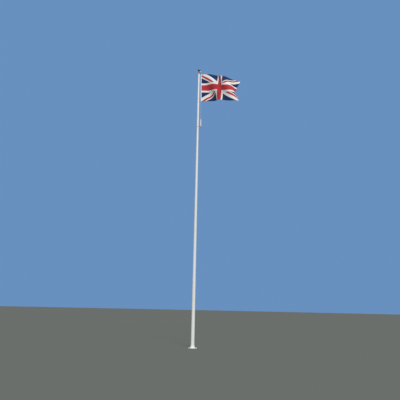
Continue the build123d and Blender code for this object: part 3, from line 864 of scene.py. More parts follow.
fly_middles = (np.arange(fly_steps) + 0.5) * cloth_length / fly_steps
hoist_rows = np.linspace(0, flag_hoist, hoist_steps + 1)
fly_grid, hoist_grid = np.meshgrid(fly_middles, hoist_rows, indexing="ij")
yaw = blown(yaw_rule, fly_grid, hoist_grid)
pitch = blown(pitch_rule, fly_grid, hoist_grid)
steps = np.stack([np.cos(yaw) * np.cos(pitch), np.sin(yaw) * np.cos(pitch), -np.sin(pitch)], -1)
hem_start = np.array(on_line(hoist_top, sleeve_width + seam_gap))
hem = hem_start + hoist_rows[:, None] * np.array(line_down)
surface = np.concatenate([[hem], hem + np.cumsum(steps, 0) * cloth_length / fly_steps])
print("cloth: summed up in", fly_steps * hoist_steps, "cells")

# %% [markdown]
# Everything that is sewn to the cloth asks it two things: where a flat point has flown to, and
# which way the cloth faces there. The first is read between the four nearest points of the
# surface, and the second is square to two short steps, one along the fly and one down the hoist.

# %% Places on the flying cloth
probe_step = 0.006
no_length = 1e-9


def on_cloth(fly, hoist):
    """Places in the air of flat points of the cloth; before the seam the cloth runs straight."""
    fly, hoist = np.asarray(fly, float), np.asarray(hoist, float)
    column = np.clip(fly / cloth_length, 0, 1) * fly_steps
    row = np.clip(hoist / flag_hoist, 0, 1) * hoist_steps
    left = np.minimum(column.astype(int), fly_steps - 1)
    above = np.minimum(row.astype(int), hoist_steps - 1)
    a, b = (column - left)[..., None], (row - above)[..., None]
    near = surface[left, above] * (1 - b) + surface[left, above + 1] * b
    far = surface[left + 1, above] * (1 - b) + surface[left + 1, above + 1] * b
    return near * (1 - a) + far * a + np.minimum(fly, 0)[..., None] * np.array(line_out)


def cloth_facing(fly, hoist):
    """Unit directions square to the cloth at flat points, towards the picture's side."""
    fly, hoist = np.asarray(fly, float), np.asarray(hoist, float)
    along = on_cloth(fly + probe_step, hoist) - on_cloth(fly - probe_step, hoist)
    down = on_cloth(fly, hoist + probe_step) - on_cloth(fly, hoist - probe_step)
    facing = np.cross(along, down)
    facing /= np.maximum(np.linalg.norm(facing, axis=-1, keepdims=True), no_length)
    return facing


print("cloth: far foot corner at", on_cloth(cloth_length, flag_hoist).round(3))

# %% [markdown]
# The flag is a common national pattern on a field five parts long and three high, redrawn from
# its plain rule: a red upright cross with a white edge, over a white diagonal cross that carries
# a narrower red one, set off to one side and swapped at the middle, on navy.
# A printed picture of it would blur close up. Here the flat sheet is cut along every edge of the
# pattern first, so each face belongs to one cloth, and only then bent into the air.

# %% The flag's pattern
units_high = 30
units_long = 50
unit_high = flag_hoist / units_high
unit_long = flag_fly / units_long
cross_half = 3
cross_edge = 5
saltire_half = 3
saltire_red = 2
diagonal_length = sqrt(units_long**2 + units_high**2)


def pattern_place(fly, hoist):
    """Pattern units right of and above the flag's middle, and off its two diagonals."""
    x = (fly + sleeve_width) / unit_long - units_long / 2
    y = units_high / 2 - hoist / unit_high
    rising = (units_long * y - units_high * x) / diagonal_length
    falling = (units_long * y + units_high * x) / diagonal_length
    return x, y, rising, falling


def cloth_colour(fly, hoist):
    """Which cloth a flat point is made of: 0 red, 1 white, 2 navy."""
    x, y, rising, falling = pattern_place(fly, hoist)
    nearest = min(abs(x), abs(y))
    if nearest < cross_half:
        return 0
    if nearest < cross_edge:
        return 1
    for off in (rising, falling):
        if abs(off) < saltire_half:
            own = off if x > 0 else -off
            return 0 if 0 < own < saltire_red else 1
    return 2


samples = [(cloth_length / 2, flag_hoist / 2), (0.3, 0.02), (0.4, 0.42)]
print("cloth at the middle, near a corner and in the field:", [cloth_colour(*s) for s in samples])

# %% [markdown]
# Along every edge of the pattern two cloths lap and are felled together, so the seam is a low
# ridge, four layers thick, and lets less light through. The finish finds its distance from the
# nearest edge by the same plain rule, in pattern units, and turns that into a bump. It also paints
# the seam darker, as painted shade for the light that the four layers hold back.

# %% Felled seams in the finish
seam_half = 0.0042
seam_fades = 1.3
seam_rise = 0.0007
seam_shade = 0.16
seam_shade_tone = (0.02, 0.02, 0.03)


def off_edge(tree, value, edge):
    """How far a number lies from an edge, either way."""
    return calc(tree, "ABSOLUTE", calc(tree, "SUBTRACT", value, edge))


def off_seam(tree):
    """Distance from the nearest edge of the pattern, in pattern units."""
    flat = flat_place(tree)
    along = calc(tree, "DIVIDE", calc(tree, "ADD", flat["X"], sleeve_width), unit_long)
    x = calc(tree, "SUBTRACT", along, units_long / 2)
    y = calc(tree, "SUBTRACT", units_high / 2, calc(tree, "DIVIDE", flat["Y"], unit_high))
    nearest = calc(tree, "MINIMUM", calc(tree, "ABSOLUTE", x), calc(tree, "ABSOLUTE", y))
    edges = [off_edge(tree, nearest, edge) for edge in (cross_half, cross_edge)]
    seam = calc(tree, "MINIMUM", *edges)
    inside = times(tree, calc(tree, "LESS_THAN", nearest, cross_edge), units_long)
    for slope in (1, -1):
        tilt = times(tree, x, slope * units_high / diagonal_length)
        off = calc(tree, "SUBTRACT", times(tree, y, units_long / diagonal_length), tilt)
        own = times(tree, off, calc(tree, "SIGN", x))
        edge = off_edge(tree, calc(tree, "ABSOLUTE", off), saltire_half)
        edge = calc(tree, "MINIMUM", edge, calc(tree, "ABSOLUTE", own))
        edge = calc(tree, "MINIMUM", edge, off_edge(tree, own, saltire_red))
        seam = calc(tree, "MINIMUM", seam, calc(tree, "ADD", edge, inside))
    return seam


seam_ends = (seam_half / unit_long, seam_half * seam_fades / unit_long)
for cloth in cloths:
    tree = cloth.node_tree
    shader = tree.nodes["Principled BSDF"]
    weave_bump = next(node for node in tree.nodes if node.type == "BUMP")
    lapped = band(tree, off_seam(tree), *seam_ends, 1.0, 0.0)
    feeds = {"Height": lapped, "Strength": 1.0, "Distance": seam_rise}
    ridge = place(tree, "ShaderNodeBump", feeds)
    tree.links.new(ridge.outputs[0], weave_bump.inputs["Normal"])
    # Painted shade: the cloth's colour darkens towards near black along each seam.
    plain = shader.inputs["Base Color"].links[0].from_socket
    tint(tree, shader, plain, times(tree, lapped, seam_shade), seam_shade_tone)
print("felled seams: ridges", seam_half * 2000, "mm wide")

# %% [markdown]
# The sheet starts as a flat grid in metres, with lines where the hems begin and a narrow strip
# that tucks into the sleeve. It steps in quarters of a pattern unit, so the edges of the upright
# cross fall on grid lines already.

# %% Flat grid of the sheet
hem_width = 0.022
tuck_under_sleeve = 0.006
steps_per_unit = 4

long_step, high_step = unit_long / steps_per_unit, unit_high / steps_per_unit
long_steps, high_steps = units_long * steps_per_unit, units_high * steps_per_unit
flys = {k * long_step - sleeve_width for k in range(steps_per_unit, long_steps + 1)}
flys = sorted(flys | {-tuck_under_sleeve, 0.0, cloth_length - hem_width})
hoists = {k * high_step for k in range(high_steps + 1)}
hoists = sorted(hoists | {hem_width, flag_hoist - hem_width})

sheet_cut = bmesh.new()
flat_map = sheet_cut.loops.layers.uv.new("flat")
grid = [[sheet_cut.verts.new((fly, hoist, 0)) for hoist in hoists] for fly in flys]
for near, far in zip(grid, grid[1:]):
    for j in range(len(hoists) - 1):
        sheet_cut.faces.new((near[j], far[j], far[j + 1], near[j + 1]))
print("flat grid:", len(flys), "by", len(hoists), "lines")

# %% [markdown]
# `bisect_plane` cuts the grid along the diagonals' edges. Each face then takes its cloth, and
# each corner keeps its flat place as a UV map called flat, which the weave and the seams read.

# %% Cut the sheet
weld = 1e-6
merge_under = 0.0004
saltire_edges = (-saltire_half, -saltire_red, 0, saltire_red, saltire_half)

middle = Vector((units_long / 2 * unit_long - sleeve_width, flag_hoist / 2, 0))
for slope in (1, -1):
    square = Vector((-units_high / unit_long, -slope * units_long / unit_high, 0))
    for off in saltire_edges:
        start = middle + Vector((0, -slope * off * diagonal_length / units_long * unit_high, 0))
        parts = sheet_cut.verts[:] + sheet_cut.edges[:] + sheet_cut.faces[:]
        bmesh.ops.bisect_plane(sheet_cut, geom=parts, dist=weld, plane_co=start, plane_no=square)
bmesh.ops.remove_doubles(sheet_cut, verts=sheet_cut.verts, dist=merge_under)

for face in sheet_cut.faces:
    spot = face.calc_center_median()
    face.material_index = cloth_colour(spot.x, spot.y)
    face.smooth = True
    for loop in face.loops:
        loop[flat_map].uv = loop.vert.co.xy
print("sheet cut into", len(sheet_cut.faces), "faces")

# %% [markdown]
# A little more than the rule is added along the cloth's normal: small puckers along the hems,
# where thread draws the cloth in, and creases that run out from the two hoist corners, which
# carry the pull. They stay under three millimetres, inside the frame's solid. The stitches
# later ask for the same lift, so they stay seated in the cloth.

# %% Puckers and creases
pucker_height = 0.0011
pucker_length = 0.060
pucker_reach = 0.05
pucker_drift = 2
pucker_drift_rate = 9
crease_height = 0.0022
crease_fan = 9
crease_start = 0.12
crease_reach = 0.34
crease_grows = 0.1
least_reach = 1e-6
still_length = 0.05


def edge_distance(fly, hoist):
    """Distance of flat points from the nearest hemmed edge."""
    return np.minimum(np.minimum(hoist, flag_hoist - hoist), cloth_length - fly)


def gathered(fly, hoist):
    """Places in the air of flat points, with the puckers and creases added."""
    from_hem = edge_distance(fly, hoist)
    by_length = np.where(from_hem == cloth_length - fly, hoist, fly)
    drift = pucker_drift * np.sin(by_length * pucker_drift_rate)
    puckers = np.sin(2 * pi * by_length / pucker_length + drift)
    puckers *= pucker_height * np.exp(-(((from_hem - hem_width) / pucker_reach) ** 2))
    creases = np.zeros(len(fly))
    for corner_hoist in (0, flag_hoist):
        away = np.hypot(fly, hoist - corner_hoist)
        bearing = np.arctan2(np.abs(hoist - corner_hoist), np.maximum(fly, least_reach))
        fan = np.sin(bearing * crease_fan) * np.exp(-(((away - crease_start) / crease_reach) ** 2))
        creases += crease_height * fan * np.minimum(1, away / crease_grows)
    lift = (puckers + creases) * np.clip(fly / still_length, 0, 1)
    return on_cloth(fly, hoist) + cloth_facing(fly, hoist) * lift[:, None]


probe_rows = np.linspace(0.01, flag_hoist - 0.01, 9)
probe_flys = np.full(len(probe_rows), 0.2)
probe_lift = gathered(probe_flys, probe_rows) - on_cloth(probe_flys, probe_rows)
print("lift 0.2 m from the hoist:", (np.linalg.norm(probe_lift, axis=1) * 1000).round(1), "mm")

# %% [markdown]
# Bending the sheet moves every vertex of the flat cut to its place in the air. Solidify then
# gives the cloth its thickness, and a vertex group gives the hems, which are folded double over
# a seam, three times as much.

# %% Fly the sheet
cloth_thickness = 0.0009
hem_layers = 3


def as_piece(shape, name, *materials):
    """An object made of a bmesh, with its faces turned outwards and its materials."""
    bmesh.ops.recalc_face_normals(shape, faces=shape.faces)
    mesh = bpy.data.meshes.new(name)
    shape.to_mesh(mesh)
    shape.free()
    for material in materials:
        mesh.materials.append(material)
    return linked(name, mesh)


flat_points = np.array([(v.co.x, v.co.y) for v in sheet_cut.verts])
for vertex, point in zip(sheet_cut.verts, gathered(*flat_points.T)):
    vertex.co = point
flag = as_piece(sheet_cut, "flag_cloth", *cloths)
hems = flag.vertex_groups.new(name="hems")
for index, gap in enumerate(edge_distance(*flat_points.T)):
    hems.add([index], 1.0 if gap < hem_width + weld else 1 / hem_layers, "REPLACE")
thick = flag.modifiers.new("thickness", "SOLIDIFY")
thick.thickness = hem_layers * cloth_thickness
thick.offset = 0
thick.vertex_group = "hems"
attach(flag, "truck")
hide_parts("flag")
print("flag:", len(flag.data.polygons), "faces before its thickness")

# %% [markdown]
# A lockstitch shows on both faces of the cloth as a row of short, plump dashes. Each stitch is
# one small spindle through the cloth, placed along a path at an even pitch and turned to the path
# and to the cloth's own facing, which the path carries as an attribute. There are thousands, so
# a spindle has only eight faces.

# %% The stitch tree
stitching, given = start_tree(
    "Stitches", **{"Pitch": float, "Length": float, "Width": float, "Depth": float}
)


def carried_facing(tree):
    """The direction that each point of the base mesh carries."""
    feeds = {"Name": "facing"}
    reader = place(tree, "GeometryNodeInputNamedAttribute", feeds, data_type="FLOAT_VECTOR")
    return reader.outputs["Attribute"]


stitch_path = place(stitching, "GeometryNodeMeshToCurve", {0: given["Geometry"]}).outputs[0]
run = place(stitching, "GeometryNodeInputTangent").outputs[0]
turn_run = place(stitching, "FunctionNodeAlignRotationToVector", {"Vector": run}, axis="X")
feeds = {"Rotation": turn_run.outputs[0], "Vector": carried_facing(stitching)}
turn_face = place(
    stitching, "FunctionNodeAlignRotationToVector", feeds, axis="Z", pivot_axis="X"
)
spindle = place(stitching, "GeometryNodeMeshUVSphere", {"Segments": 4, "Rings": 2, "Radius": 0.5})
feeds = {0: given["Length"], 1: given["Width"], 2: given["Depth"]}
stitch_size = place(stitching, "ShaderNodeCombineXYZ", feeds)
feeds = {
    "Points": stepped(stitching, stitch_path, given["Pitch"]),
    "Instance": spindle.outputs[0],
    "Rotation": turn_face.outputs[0],
    "Scale": stitch_size.outputs[0],
}
stitches = place(stitching, "GeometryNodeInstanceOnPoints", feeds)
end_tree(stitching, given, stitches.outputs[0])
print("stitch tree:", len(stitching.nodes), "nodes")

# %% [markdown]
# A row is written by its two flat ends. It is followed over the flying cloth in short steps, so
# that it bends with the cloth, and each step stores which way the cloth faces there.

# %% Rows of stitches
def carry_facing(mesh, facings):
    """Stores a direction at every point of a mesh, for a tree to read."""
    carried = mesh.attributes.new("facing", "FLOAT_VECTOR", "POINT")
    carried.data.foreach_set("vector", np.array(facings, np.float32).ravel())


def stitch_rows(name, rows, spacing, material, **sizes):
    """Stitches along flat rows on the cloth, each row given by its ends as (fly, hoist)."""
    points, facings, edges = [], [], []
    for (fly_a, hoist_a), (fly_b, hoist_b) in rows:
        count = max(2, int(np.hypot(fly_b - fly_a, hoist_b - hoist_a) / spacing))
        share = np.linspace(0, 1, count + 1)
        fly_row, hoist_row = fly_a + (fly_b - fly_a) * share, hoist_a + (hoist_b - hoist_a) * share
        edges += [(len(points) + k, len(points) + k + 1) for k in range(count)]
        points += [tuple(p) for p in gathered(fly_row, hoist_row)]
        facings += [tuple(f) for f in cloth_facing(fly_row, hoist_row)]
    mesh = bpy.data.meshes.new(name + "_rows")
    mesh.from_pydata(points, edges, [])
    carry_facing(mesh, facings)
    return grown(name, linked(name + "_rows", mesh), stitching, material, **sizes)


print("sewing helpers: carry_facing, stitch_rows")

# %% [markdown]
# Two rows of stitches hold the hem along the top and the foot. The fly's hem, which the wind
# works hardest, has three.

# %% Rows of the hems
stitch_inset = 0.004

hem_rows = []
for inset in (stitch_inset, hem_width - stitch_inset):
    for hoist in (inset, flag_hoist - inset):
        hem_rows.append(((stitch_inset, hoist), (cloth_length - inset, hoist)))
for inset in (stitch_inset, hem_width / 2, hem_width - stitch_inset):
    fly = cloth_length - inset
    hem_rows.append(((fly, stitch_inset), (fly, flag_hoist - stitch_inset)))
print("hems:", len(hem_rows), "rows")

# %% [markdown]
# The seams of the upright cross follow the edges of its red and of its white. Each stops at the
# square in the middle, where the arms meet and no edge is left to sew.

# %% Seams of the upright cross
seam_lines = []
half_hoist = flag_hoist / 2
for off in (-cross_edge, -cross_half, cross_half, cross_edge):
    fly, hoist = middle.x + off * unit_long, half_hoist + off * unit_high
    out, down = abs(off) * unit_long, abs(off) * unit_high
    seam_lines += [
        ((stitch_inset, hoist), (middle.x - out, hoist)),
        ((middle.x + out, hoist), (cloth_length - hem_width, hoist)),
        ((fly, hem_width), (fly, half_hoist - down)),
        ((fly, half_hoist + down), (fly, flag_hoist - hem_width)),
    ]
print("upright cross:", len(seam_lines), "seams")

# %% [markdown]
# A diagonal's seams start where the upright cross ends and run out to the hems, where they are
# drawn back to the hem's inner edge. The red stripe lies on one side of the diagonal only, so on
# the other side there is no red edge, and that line is passed over.

# %% Seams of the diagonals
def drawn_back(start, end, axis, edge):
    """The end of a flat row, moved back to an edge where the row crosses it."""
    if (start[axis] - edge) * (end[axis] - edge) >= 0:
        return end
    share = (edge - start[axis]) / (end[axis] - start[axis])
    return tuple(edge if k == axis else start[k] + (end[k] - start[k]) * share for k in (0, 1))


diagonal_lines = []
for slope in (1, -1):
    for off in saltire_edges:
        for side in (-1, 1):
            if off * side == -saltire_red:
                continue
            shift = off * diagonal_length / units_long
            inner = max(cross_edge, (cross_edge - slope * side * shift) * units_long / units_high)
            ends = []
            for x in (side * inner, side * units_long / 2):
                y = slope * x * units_high / units_long + shift
                ends.append((middle.x + x * unit_long, half_hoist - y * unit_high))
            start, end = ends
            for hoist in (hem_width, flag_hoist - hem_width):
                end = drawn_back(start, end, 1, hoist)
            for fly in (stitch_inset, cloth_length - hem_width):
                end = drawn_back(start, end, 0, fly)
            diagonal_lines.append((start, end))
print("diagonals:", len(diagonal_lines), "seams")

# %% [markdown]
# A felled seam is sewn twice, so each of its lines becomes a pair of rows, one on either side.
# The hems are three layers thick, and their stitches are larger so that they show.

# %% Sew the flag
row_spacing = 0.006
twin_step = 0.003
hem_stitch = {"Pitch": 0.0060, "Length": 0.0048, "Width": 0.0016, "Depth": 0.0046}
seam_stitch = {"Pitch": 0.0060, "Length": 0.0044, "Width": 0.0010, "Depth": 0.0022}

seam_rows = []
for (fly_a, hoist_a), (fly_b, hoist_b) in seam_lines + diagonal_lines:
    length = np.hypot(fly_b - fly_a, hoist_b - hoist_a)
    for step in (-twin_step, twin_step):
        out, down = step * (hoist_a - hoist_b) / length, step * (fly_b - fly_a) / length
        seam_rows.append(((fly_a + out, hoist_a + down), (fly_b + out, hoist_b + down)))

hem_sewing = stitch_rows("hem_stitches", hem_rows, row_spacing, thread, **hem_stitch)
seam_sewing = stitch_rows("seam_stitches", seam_rows, row_spacing, thread, **seam_stitch)
for piece in (hem_sewing, seam_sewing):
    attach(piece, "truck")
print("sewn:", len(hem_rows), "hem rows and", len(seam_rows), "seam rows")

# %% [markdown]
# The hoist sleeve is one strip of white canvas folded round the hoist rope and sewn to the cloth,
# which runs in between its two layers. Its section is a loop round the rope that flattens to a
# band. The length round that section is the width of the flat strip.

# %% Section of the sleeve
sleeve_round = 0.0060
band_half = 0.0021
round_points = 15
band_points = 7
neck_opens = radians(28)
neck_length = 0.003
band_inset = 0.0002

ring = []
for index in range(round_points):
    angle = neck_opens + (2 * pi - 2 * neck_opens) * index / (round_points - 1)
    ring.append((sleeve_round * cos(angle), sleeve_round * sin(angle)))
band_start = sleeve_round * cos(neck_opens) + neck_length
band_outs = np.linspace(band_start, sleeve_width - band_inset, band_points)
lower_band = [(out, -band_half) for out in band_outs]
upper_band = [(out, band_half) for out in band_outs[::-1]]
section = ring + lower_band + upper_band
section_run = np.array(section + section[:1])
around = np.concatenate([[0], np.cumsum(np.hypot(*np.diff(section_run, axis=0).T))])
print("sleeve: strip", round(float(around[-1]) * 1000), "mm wide round the rope")

# %% [markdown]
# The section is swept down the line. It swells and tightens a little from row to row, and sways
# to the side, as canvas does on a rope that pulls. The strip's flat place goes into the same kind
# of UV map as the flag's, so the weave runs true round the fold.

# %% Hoist sleeve
canvas_thickness = 0.0008
sleeve_rows = 150
swell = 0.06
swell_waves = ((61, 0, 0.6), (147, 1, 0.4))
sway_reach = 0.0004
sway_rate = 37

sleeve_shape = bmesh.new()
sleeve_flat = sleeve_shape.loops.layers.uv.new("flat")
loops_down = []
for row in range(sleeve_rows + 1):
    share = row / sleeve_rows
    drop = hoist_top + share * flag_hoist
    waves = sum(sin(share * rate + start) * part for rate, start, part in swell_waves)
    fullness = 1 + swell * waves
    sway = sway_reach * sin(share * sway_rate)
    loop = []
    for out, side in section:
        wide = side * fullness if out < band_start else side
        loop.append(sleeve_shape.verts.new(on_line(drop, out, wide + sway)))
    loops_down.append(loop)
for row in range(sleeve_rows):
    near, far = loops_down[row], loops_down[row + 1]
    downs = [row, row, row + 1, row + 1]
    for k in range(len(section)):
        n = (k + 1) % len(section)
        face = sleeve_shape.faces.new((near[k], near[n], far[n], far[k]))
        face.smooth = True
        for corner, step_round, down in zip(face.loops, (k, k + 1, k + 1, k), downs):
            corner[sleeve_flat].uv = (around[step_round], down / sleeve_rows * flag_hoist)
sleeve = as_piece(sleeve_shape, "hoist_canvas", canvas)
sleeve_wall = sleeve.modifiers.new("thickness", "SOLIDIFY")
sleeve_wall.thickness = canvas_thickness
sleeve_wall.offset = -1
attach(sleeve, "truck")
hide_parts("hoist_sleeve")
print("sleeve:", len(sleeve.data.polygons), "faces before its thickness")

# %% [markdown]
# Two rows of heavy stitches hold the sleeve: one close to the rope and one near the cloth. They
# go right through the band, so the same spindles are used, deeper ones, along straight paths
# down the line.

# %% Sleeve stitches
sleeve_row_outs = (0.0135, 0.0285)
sleeve_row_inset = 0.006
straight_spacing = 0.05
heavy_stitch = {"Pitch": 0.0075, "Length": 0.0060, "Width": 0.0024, "Depth": 0.0062}

straight_rows = []
for out in sleeve_row_outs:
    fly = out - sleeve_width
    straight_rows.append(((fly, sleeve_row_inset), (fly, flag_hoist - sleeve_row_inset)))
sleeve_sewing = stitch_rows(
    "sleeve_stitches", straight_rows, straight_spacing, thread, **heavy_stitch
)
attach(sleeve_sewing, "truck")

# %% [markdown]
# Turned parts, such as washers and studs, are a profile spun round an axis. Blender's own Spin
# could do it, but it leaves doubles on the axis. `turned` instead makes one closed mesh of a
# profile given as radius and height, with a single vertex wherever the profile touches the axis.
# `six_sided` makes a nut with its corners chamfered, and `skin` fills in faces for both.

# %% Small hardware shapes
nut_sides = 24
across_corners = 1.155


def skin(shape, rings, closed=False):
    """Adds faces between neighbouring rings of points; a point that repeats counts once."""
    following = rings[1:] + rings[:1] if closed else rings[1:]
    for low, high in zip(rings, following):
        for k in range(len(low)):
            n = (k + 1) % len(low)
            corners = list(dict.fromkeys((low[k], low[n], high[n], high[k])))
            if len(corners) > 2:
                shape.faces.new(corners)


def turned(shape, profile, sides, closed=False):
    """Adds a profile of (radius, height) spun round the Z axis to a bmesh."""
    rings = []
    for radius, height in profile:
        if radius == 0:
            rings.append([shape.verts.new((0, 0, height))] * sides)
        else:
            rings.append([shape.verts.new(point) for point in circle(radius, sides, height)])
    skin(shape, rings, closed)


def six_sided(shape, flats, bore, bottom, top, chamfer):
    """Adds a chamfered hexagon nut with a round bore to a bmesh."""
    levels = (
        (bottom, -chamfer),
        (bottom + chamfer / 2, 0),
        (top - chamfer / 2, 0),
        (top, -chamfer),
    )
    rings = []
    for height, cut in levels:
        ring = []
        for k in range(nut_sides):
            angle = 2 * pi * k / nut_sides
            within = (angle + pi / 6) % (pi / 3) - pi / 6
            radius = flats / 2 / cos(within)
            if cut:
                radius = min(radius, flats / 2 * across_corners + cut)
            ring.append(shape.verts.new((radius * cos(angle), radius * sin(angle), height)))
        rings.append(ring)
    for height in (top, bottom):
        rings.append([shape.verts.new(point) for point in circle(bore, nut_sides, height)])
    skin(shape, rings, closed=True)


def hardware(name, build, material):
    """A pattern object for a tree to copy, its shape added by a function."""
    shape = bmesh.new()
    build(shape)
    return as_piece(shape, name, material)


print("hardware helpers: skin, turned, six_sided, hardware")

# %% [markdown]
# Fasteners sit on points that know which way they face. The tree puts a copy of a pattern object
# on every vertex of a base mesh and turns its Z axis along the vertex's facing. It also twists
# each copy by a little more than the last, because no fitter leaves nuts and slots in line.

# %% The fastener tree
fixing, given = start_tree("Fasteners", **{"Pattern": "object", "Twist": float})
feeds = {"Vector": carried_facing(fixing)}
aimed = place(fixing, "FunctionNodeAlignRotationToVector", feeds, axis="Z")
number = place(fixing, "GeometryNodeInputIndex").outputs[0]
twist = place(fixing, "ShaderNodeCombineXYZ", {2: times(fixing, number, given["Twist"])})
twist_turn = place(fixing, "FunctionNodeEulerToRotation", {0: twist.outputs[0]})
feeds = {"Rotation": aimed.outputs[0], "Rotate By": twist_turn.outputs[0]}
spun = place(fixing, "FunctionNodeRotateRotation", feeds, rotation_space="LOCAL")
shown = place(fixing, "GeometryNodeObjectInfo", {"Object": given["Pattern"]})
fixing_points = place(fixing, "GeometryNodeMeshToPoints", {"Mesh": given["Geometry"]})
feeds = {
    "Points": fixing_points.outputs[0],
    "Instance": shown.outputs["Geometry"],
    "Rotation": spun.outputs[0],
}
copied = place(fixing, "GeometryNodeInstanceOnPoints", feeds)
end_tree(fixing, given, copied.outputs[0])


def fixed(name, spots, pattern, material, body, twist_each=0.4):
    """Copies of a pattern at spots given as (place, facing), as one piece on a body."""
    mesh = bpy.data.meshes.new(name + "_spots")
    mesh.from_pydata([tuple(spot) for spot, _ in spots], [], [])
    carry_facing(mesh, [tuple(facing) for _, facing in spots])
    sizes = {"Pattern": pattern, "Twist": twist_each}
    made = grown(name, linked(name + "_spots", mesh), fixing, material, **sizes)
    bpy.data.objects.remove(pattern)
    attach(made, body)


print("fastener tree:", len(fixing.nodes), "nodes")

# %% [markdown]
# Four holding-down studs come up through the flange, each with a round washer and a nut, drawn
# tight. They are M20: the hole is 22 mm, the nut 30 mm across its flats, the washer 37 mm wide,
# and the stud stands a thread or two proud of the nut. The thread is turned as rings, which at
# this size looks the same as a helix and keeps the stud closed.

# %% Base studs, washers and nuts
flange_top = 0.018
bolt_ring = 0.2850 / 2
stud_radius = 0.0100
stud_foot = 0.0005
stud_top = 0.048
stud_chamfer = 0.0015
thread_depth = 0.0012
thread_pitch = 0.0025
thread_crest, thread_root = 0.1, 0.55
seat_gap = 0.0001
washer_radius = 0.0185
washer_thickness = 0.003
washer_clearance = 0.0007
washer_edge_out, washer_edge_down = 0.0005, 0.0004
nut_flats = 0.030
nut_height = 0.016
nut_chamfer = 0.0018


def stud_and_nut(shape):
    """One stud with its washer and nut, standing on the flange at height nought."""
    top = stud_top - flange_top
    foot = stud_foot - flange_top
    profile = [(0, foot), (stud_radius, foot), (stud_radius, 0.0)]
    height = 0.0
    while height < top - thread_pitch:
        profile.append((stud_radius, height + thread_pitch * thread_crest))
        profile.append((stud_radius - thread_depth, height + thread_pitch * thread_root))
        height += thread_pitch
    profile += [(stud_radius, height), (stud_radius - stud_chamfer, top), (0, top)]
    turned(shape, profile, 20)
    inner = stud_radius + washer_clearance
    washer = [
        (inner, seat_gap),
        (washer_radius, seat_gap),
        (washer_radius, washer_thickness - washer_edge_down),
        (washer_radius - washer_edge_out, washer_thickness),
        (inner, washer_thickness),
    ]
    turned(shape, washer, 32, closed=True)
    nut_top = washer_thickness + nut_height
    six_sided(shape, nut_flats, stud_radius, washer_thickness, nut_top, nut_chamfer)


bolt_places = circle(bolt_ring, 4, flange_top, start=0.5)
bolt_spots = [(Vector(point), Vector((0, 0, 1))) for point in bolt_places]
pattern = hardware("stud_and_nut", stud_and_nut, galvanised)
fixed("base_bolts", bolt_spots, pattern, galvanised, "pole")
print("base bolts on a circle of", round(bolt_ring * 2000), "mm")

# %% [markdown]
# A bead of sealant keeps rain out of the socket, where the shaft enters the base casting. It is
# a fillet drawn round by a gloved finger: hollow in section, and a little uneven. It is spun
# round the shaft with the radius following the taper.

# %% Sealant round the shaft
hub_top = 0.100
butt_radius = 0.070
tip_radius = 0.038
shaft_height = 11.940
bead_width = 0.0085
bead_rise = 0.009
bead_sunk = 0.0003
bead_sides = 96
bead_waves = ((3, 0.6, 0.05), (11, 0, 0.03))
bead_section = (
    (0.0, 0.0),
    (1.0, 0.0),
    (0.92, 0.16),
    (0.5, 0.3),
    (0.2, 0.6),
    (0.08, 1.0),
    (0.0, 1.02),
)


def shaft_radius(height):
    """Outside radius of the tapered shaft at a height."""
    share = (height - flange_top) / (shaft_height - flange_top)
    return butt_radius + (tip_radius - butt_radius) * share


seal_shape = bmesh.new()
seal_rings = []
for k in range(bead_sides):
    bearing = 2 * pi * k / bead_sides
    uneven = 1 + sum(part * sin(count * bearing + start) for count, start, part in bead_waves)
    ring = []
    for out, rise in bead_section:
        height = hub_top + rise * bead_rise * uneven
        radius = shaft_radius(height) - bead_sunk + out * bead_width * uneven
        ring.append(seal_shape.verts.new((radius * cos(bearing), radius * sin(bearing), height)))
    seal_rings.append(ring)
skin(seal_shape, seal_rings, closed=True)
for face in seal_shape.faces:
    face.smooth = True
seal = as_piece(seal_shape, "collar_seal", sealant)
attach(seal, "pole")
print("sealant:", len(seal.data.polygons), "faces")

# %% [markdown]
# The hatch frame is held by small slotted screws round its rim. A screw head is three rings of a
# low dome. Its top is two flat pieces with a sunken floor between them, which is simpler than
# cutting a slot out of a closed dome.

# %% Screw head
screw_radius = 0.0031
screw_rise = 0.0009
screw_sides = 16
dome = ((1, 0.0), (0.94, 0.55), (0.6, 1))
slot_half = 0.0004
slot_floor = screw_rise * 0.3
slot_reach = screw_radius * 0.62


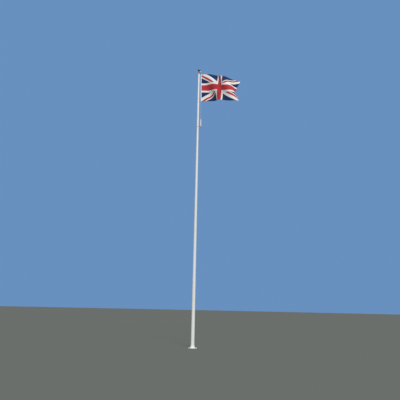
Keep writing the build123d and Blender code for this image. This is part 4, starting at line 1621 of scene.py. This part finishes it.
def slotted_screw(shape):
    """A low domed screw head whose slot is sunk into it."""
    rings = []
    for wide, high in dome:
        points = circle(screw_radius * wide, screw_sides, screw_rise * high, start=0.5)
        rings.append([shape.verts.new(point) for point in points])
    skin(shape, rings)
    edge = rings[-1]
    for sign in (1, -1):
        rim = [vertex for vertex in edge if vertex.co.y * sign > slot_half]
        first, last = rim[0].co.x, rim[-1].co.x
        near = shape.verts.new((last, sign * slot_half, screw_rise))
        far = shape.verts.new((first, sign * slot_half, screw_rise))
        shape.faces.new(rim + [near, far])
        deep_near = shape.verts.new((last, sign * slot_half, slot_floor))
        deep_far = shape.verts.new((first, sign * slot_half, slot_floor))
        shape.faces.new((near, far, deep_far, deep_near))
    corners = ((-1, -1), (1, -1), (1, 1), (-1, 1))
    floor_points = [(x * slot_reach, y * slot_half, slot_floor) for x, y in corners]
    shape.faces.new([shape.verts.new(point) for point in floor_points])


print("screw head:", screw_radius * 2000, "mm wide")

# %% [markdown]
# Each screw faces straight out from the curved shaft, so its place is found from the bearing that
# its distance from the hatch's middle line gives. The hinged side has only its middle screw,
# because the two hinges cover the rest.

# %% Hatch screws
hatch_centre = 1.250
rim_margin = 0.0045
rim_middle_x = 0.066 / 2 + rim_margin
rim_middle_z = 0.240 / 2 + rim_margin
rim_stand = 0.0025
rim_places = ((-1, 0.0), (1, -0.55), (1, 0.0), (1, 0.55), (0, 1), (0, -1))

screw_spots = []
for x, z in rim_places:
    height = hatch_centre + z * rim_middle_z
    face_radius = shaft_radius(height) + rim_stand
    sideways = x * rim_middle_x
    outwards = Vector((sideways, sqrt(face_radius**2 - sideways**2), 0))
    screw_spots.append((outwards + Vector((0, 0, height)), outwards.normalized()))
pattern = hardware("slotted_screw", slotted_screw, steel)
fixed("hatch_screws", screw_spots, pattern, steel, "pole", 0.9)

# %% [markdown]
# The sheave's pin goes through both cheeks, with a flat round head against each. A hexagon nut
# over each head locks it, the last thing that is checked before the pole goes up. The nut is the
# one from the base again, with other sizes.

# %% Pin nuts
pin_place = Vector((sheave_radius, 0, sheave_height))
pin_face = 0.022
pin_nut_flats = 0.0185
pin_nut_height = 0.0095
pin_nut_chamfer = 0.0012
pin_stub = 0.0058
stub_proud = 0.0035
stub_shoulder = 0.0025
stub_chamfer = 0.0009


def pin_nut(shape):
    """A nut on a threaded stub, its face at height nought."""
    six_sided(shape, pin_nut_flats, pin_stub, seat_gap, pin_nut_height, pin_nut_chamfer)
    stub = [
        (0, seat_gap),
        (pin_stub, seat_gap),
        (pin_stub, pin_nut_height + stub_shoulder),
        (pin_stub - stub_chamfer, pin_nut_height + stub_proud),
        (0, pin_nut_height + stub_proud),
    ]
    turned(shape, stub, 18)


pin_spots = [(pin_place + line_side * side * pin_face, line_side * side) for side in (1, -1)]
pattern = hardware("pin_nut", pin_nut, steel)
fixed("pin_nuts", pin_spots, pattern, steel, "truck", 0.3)
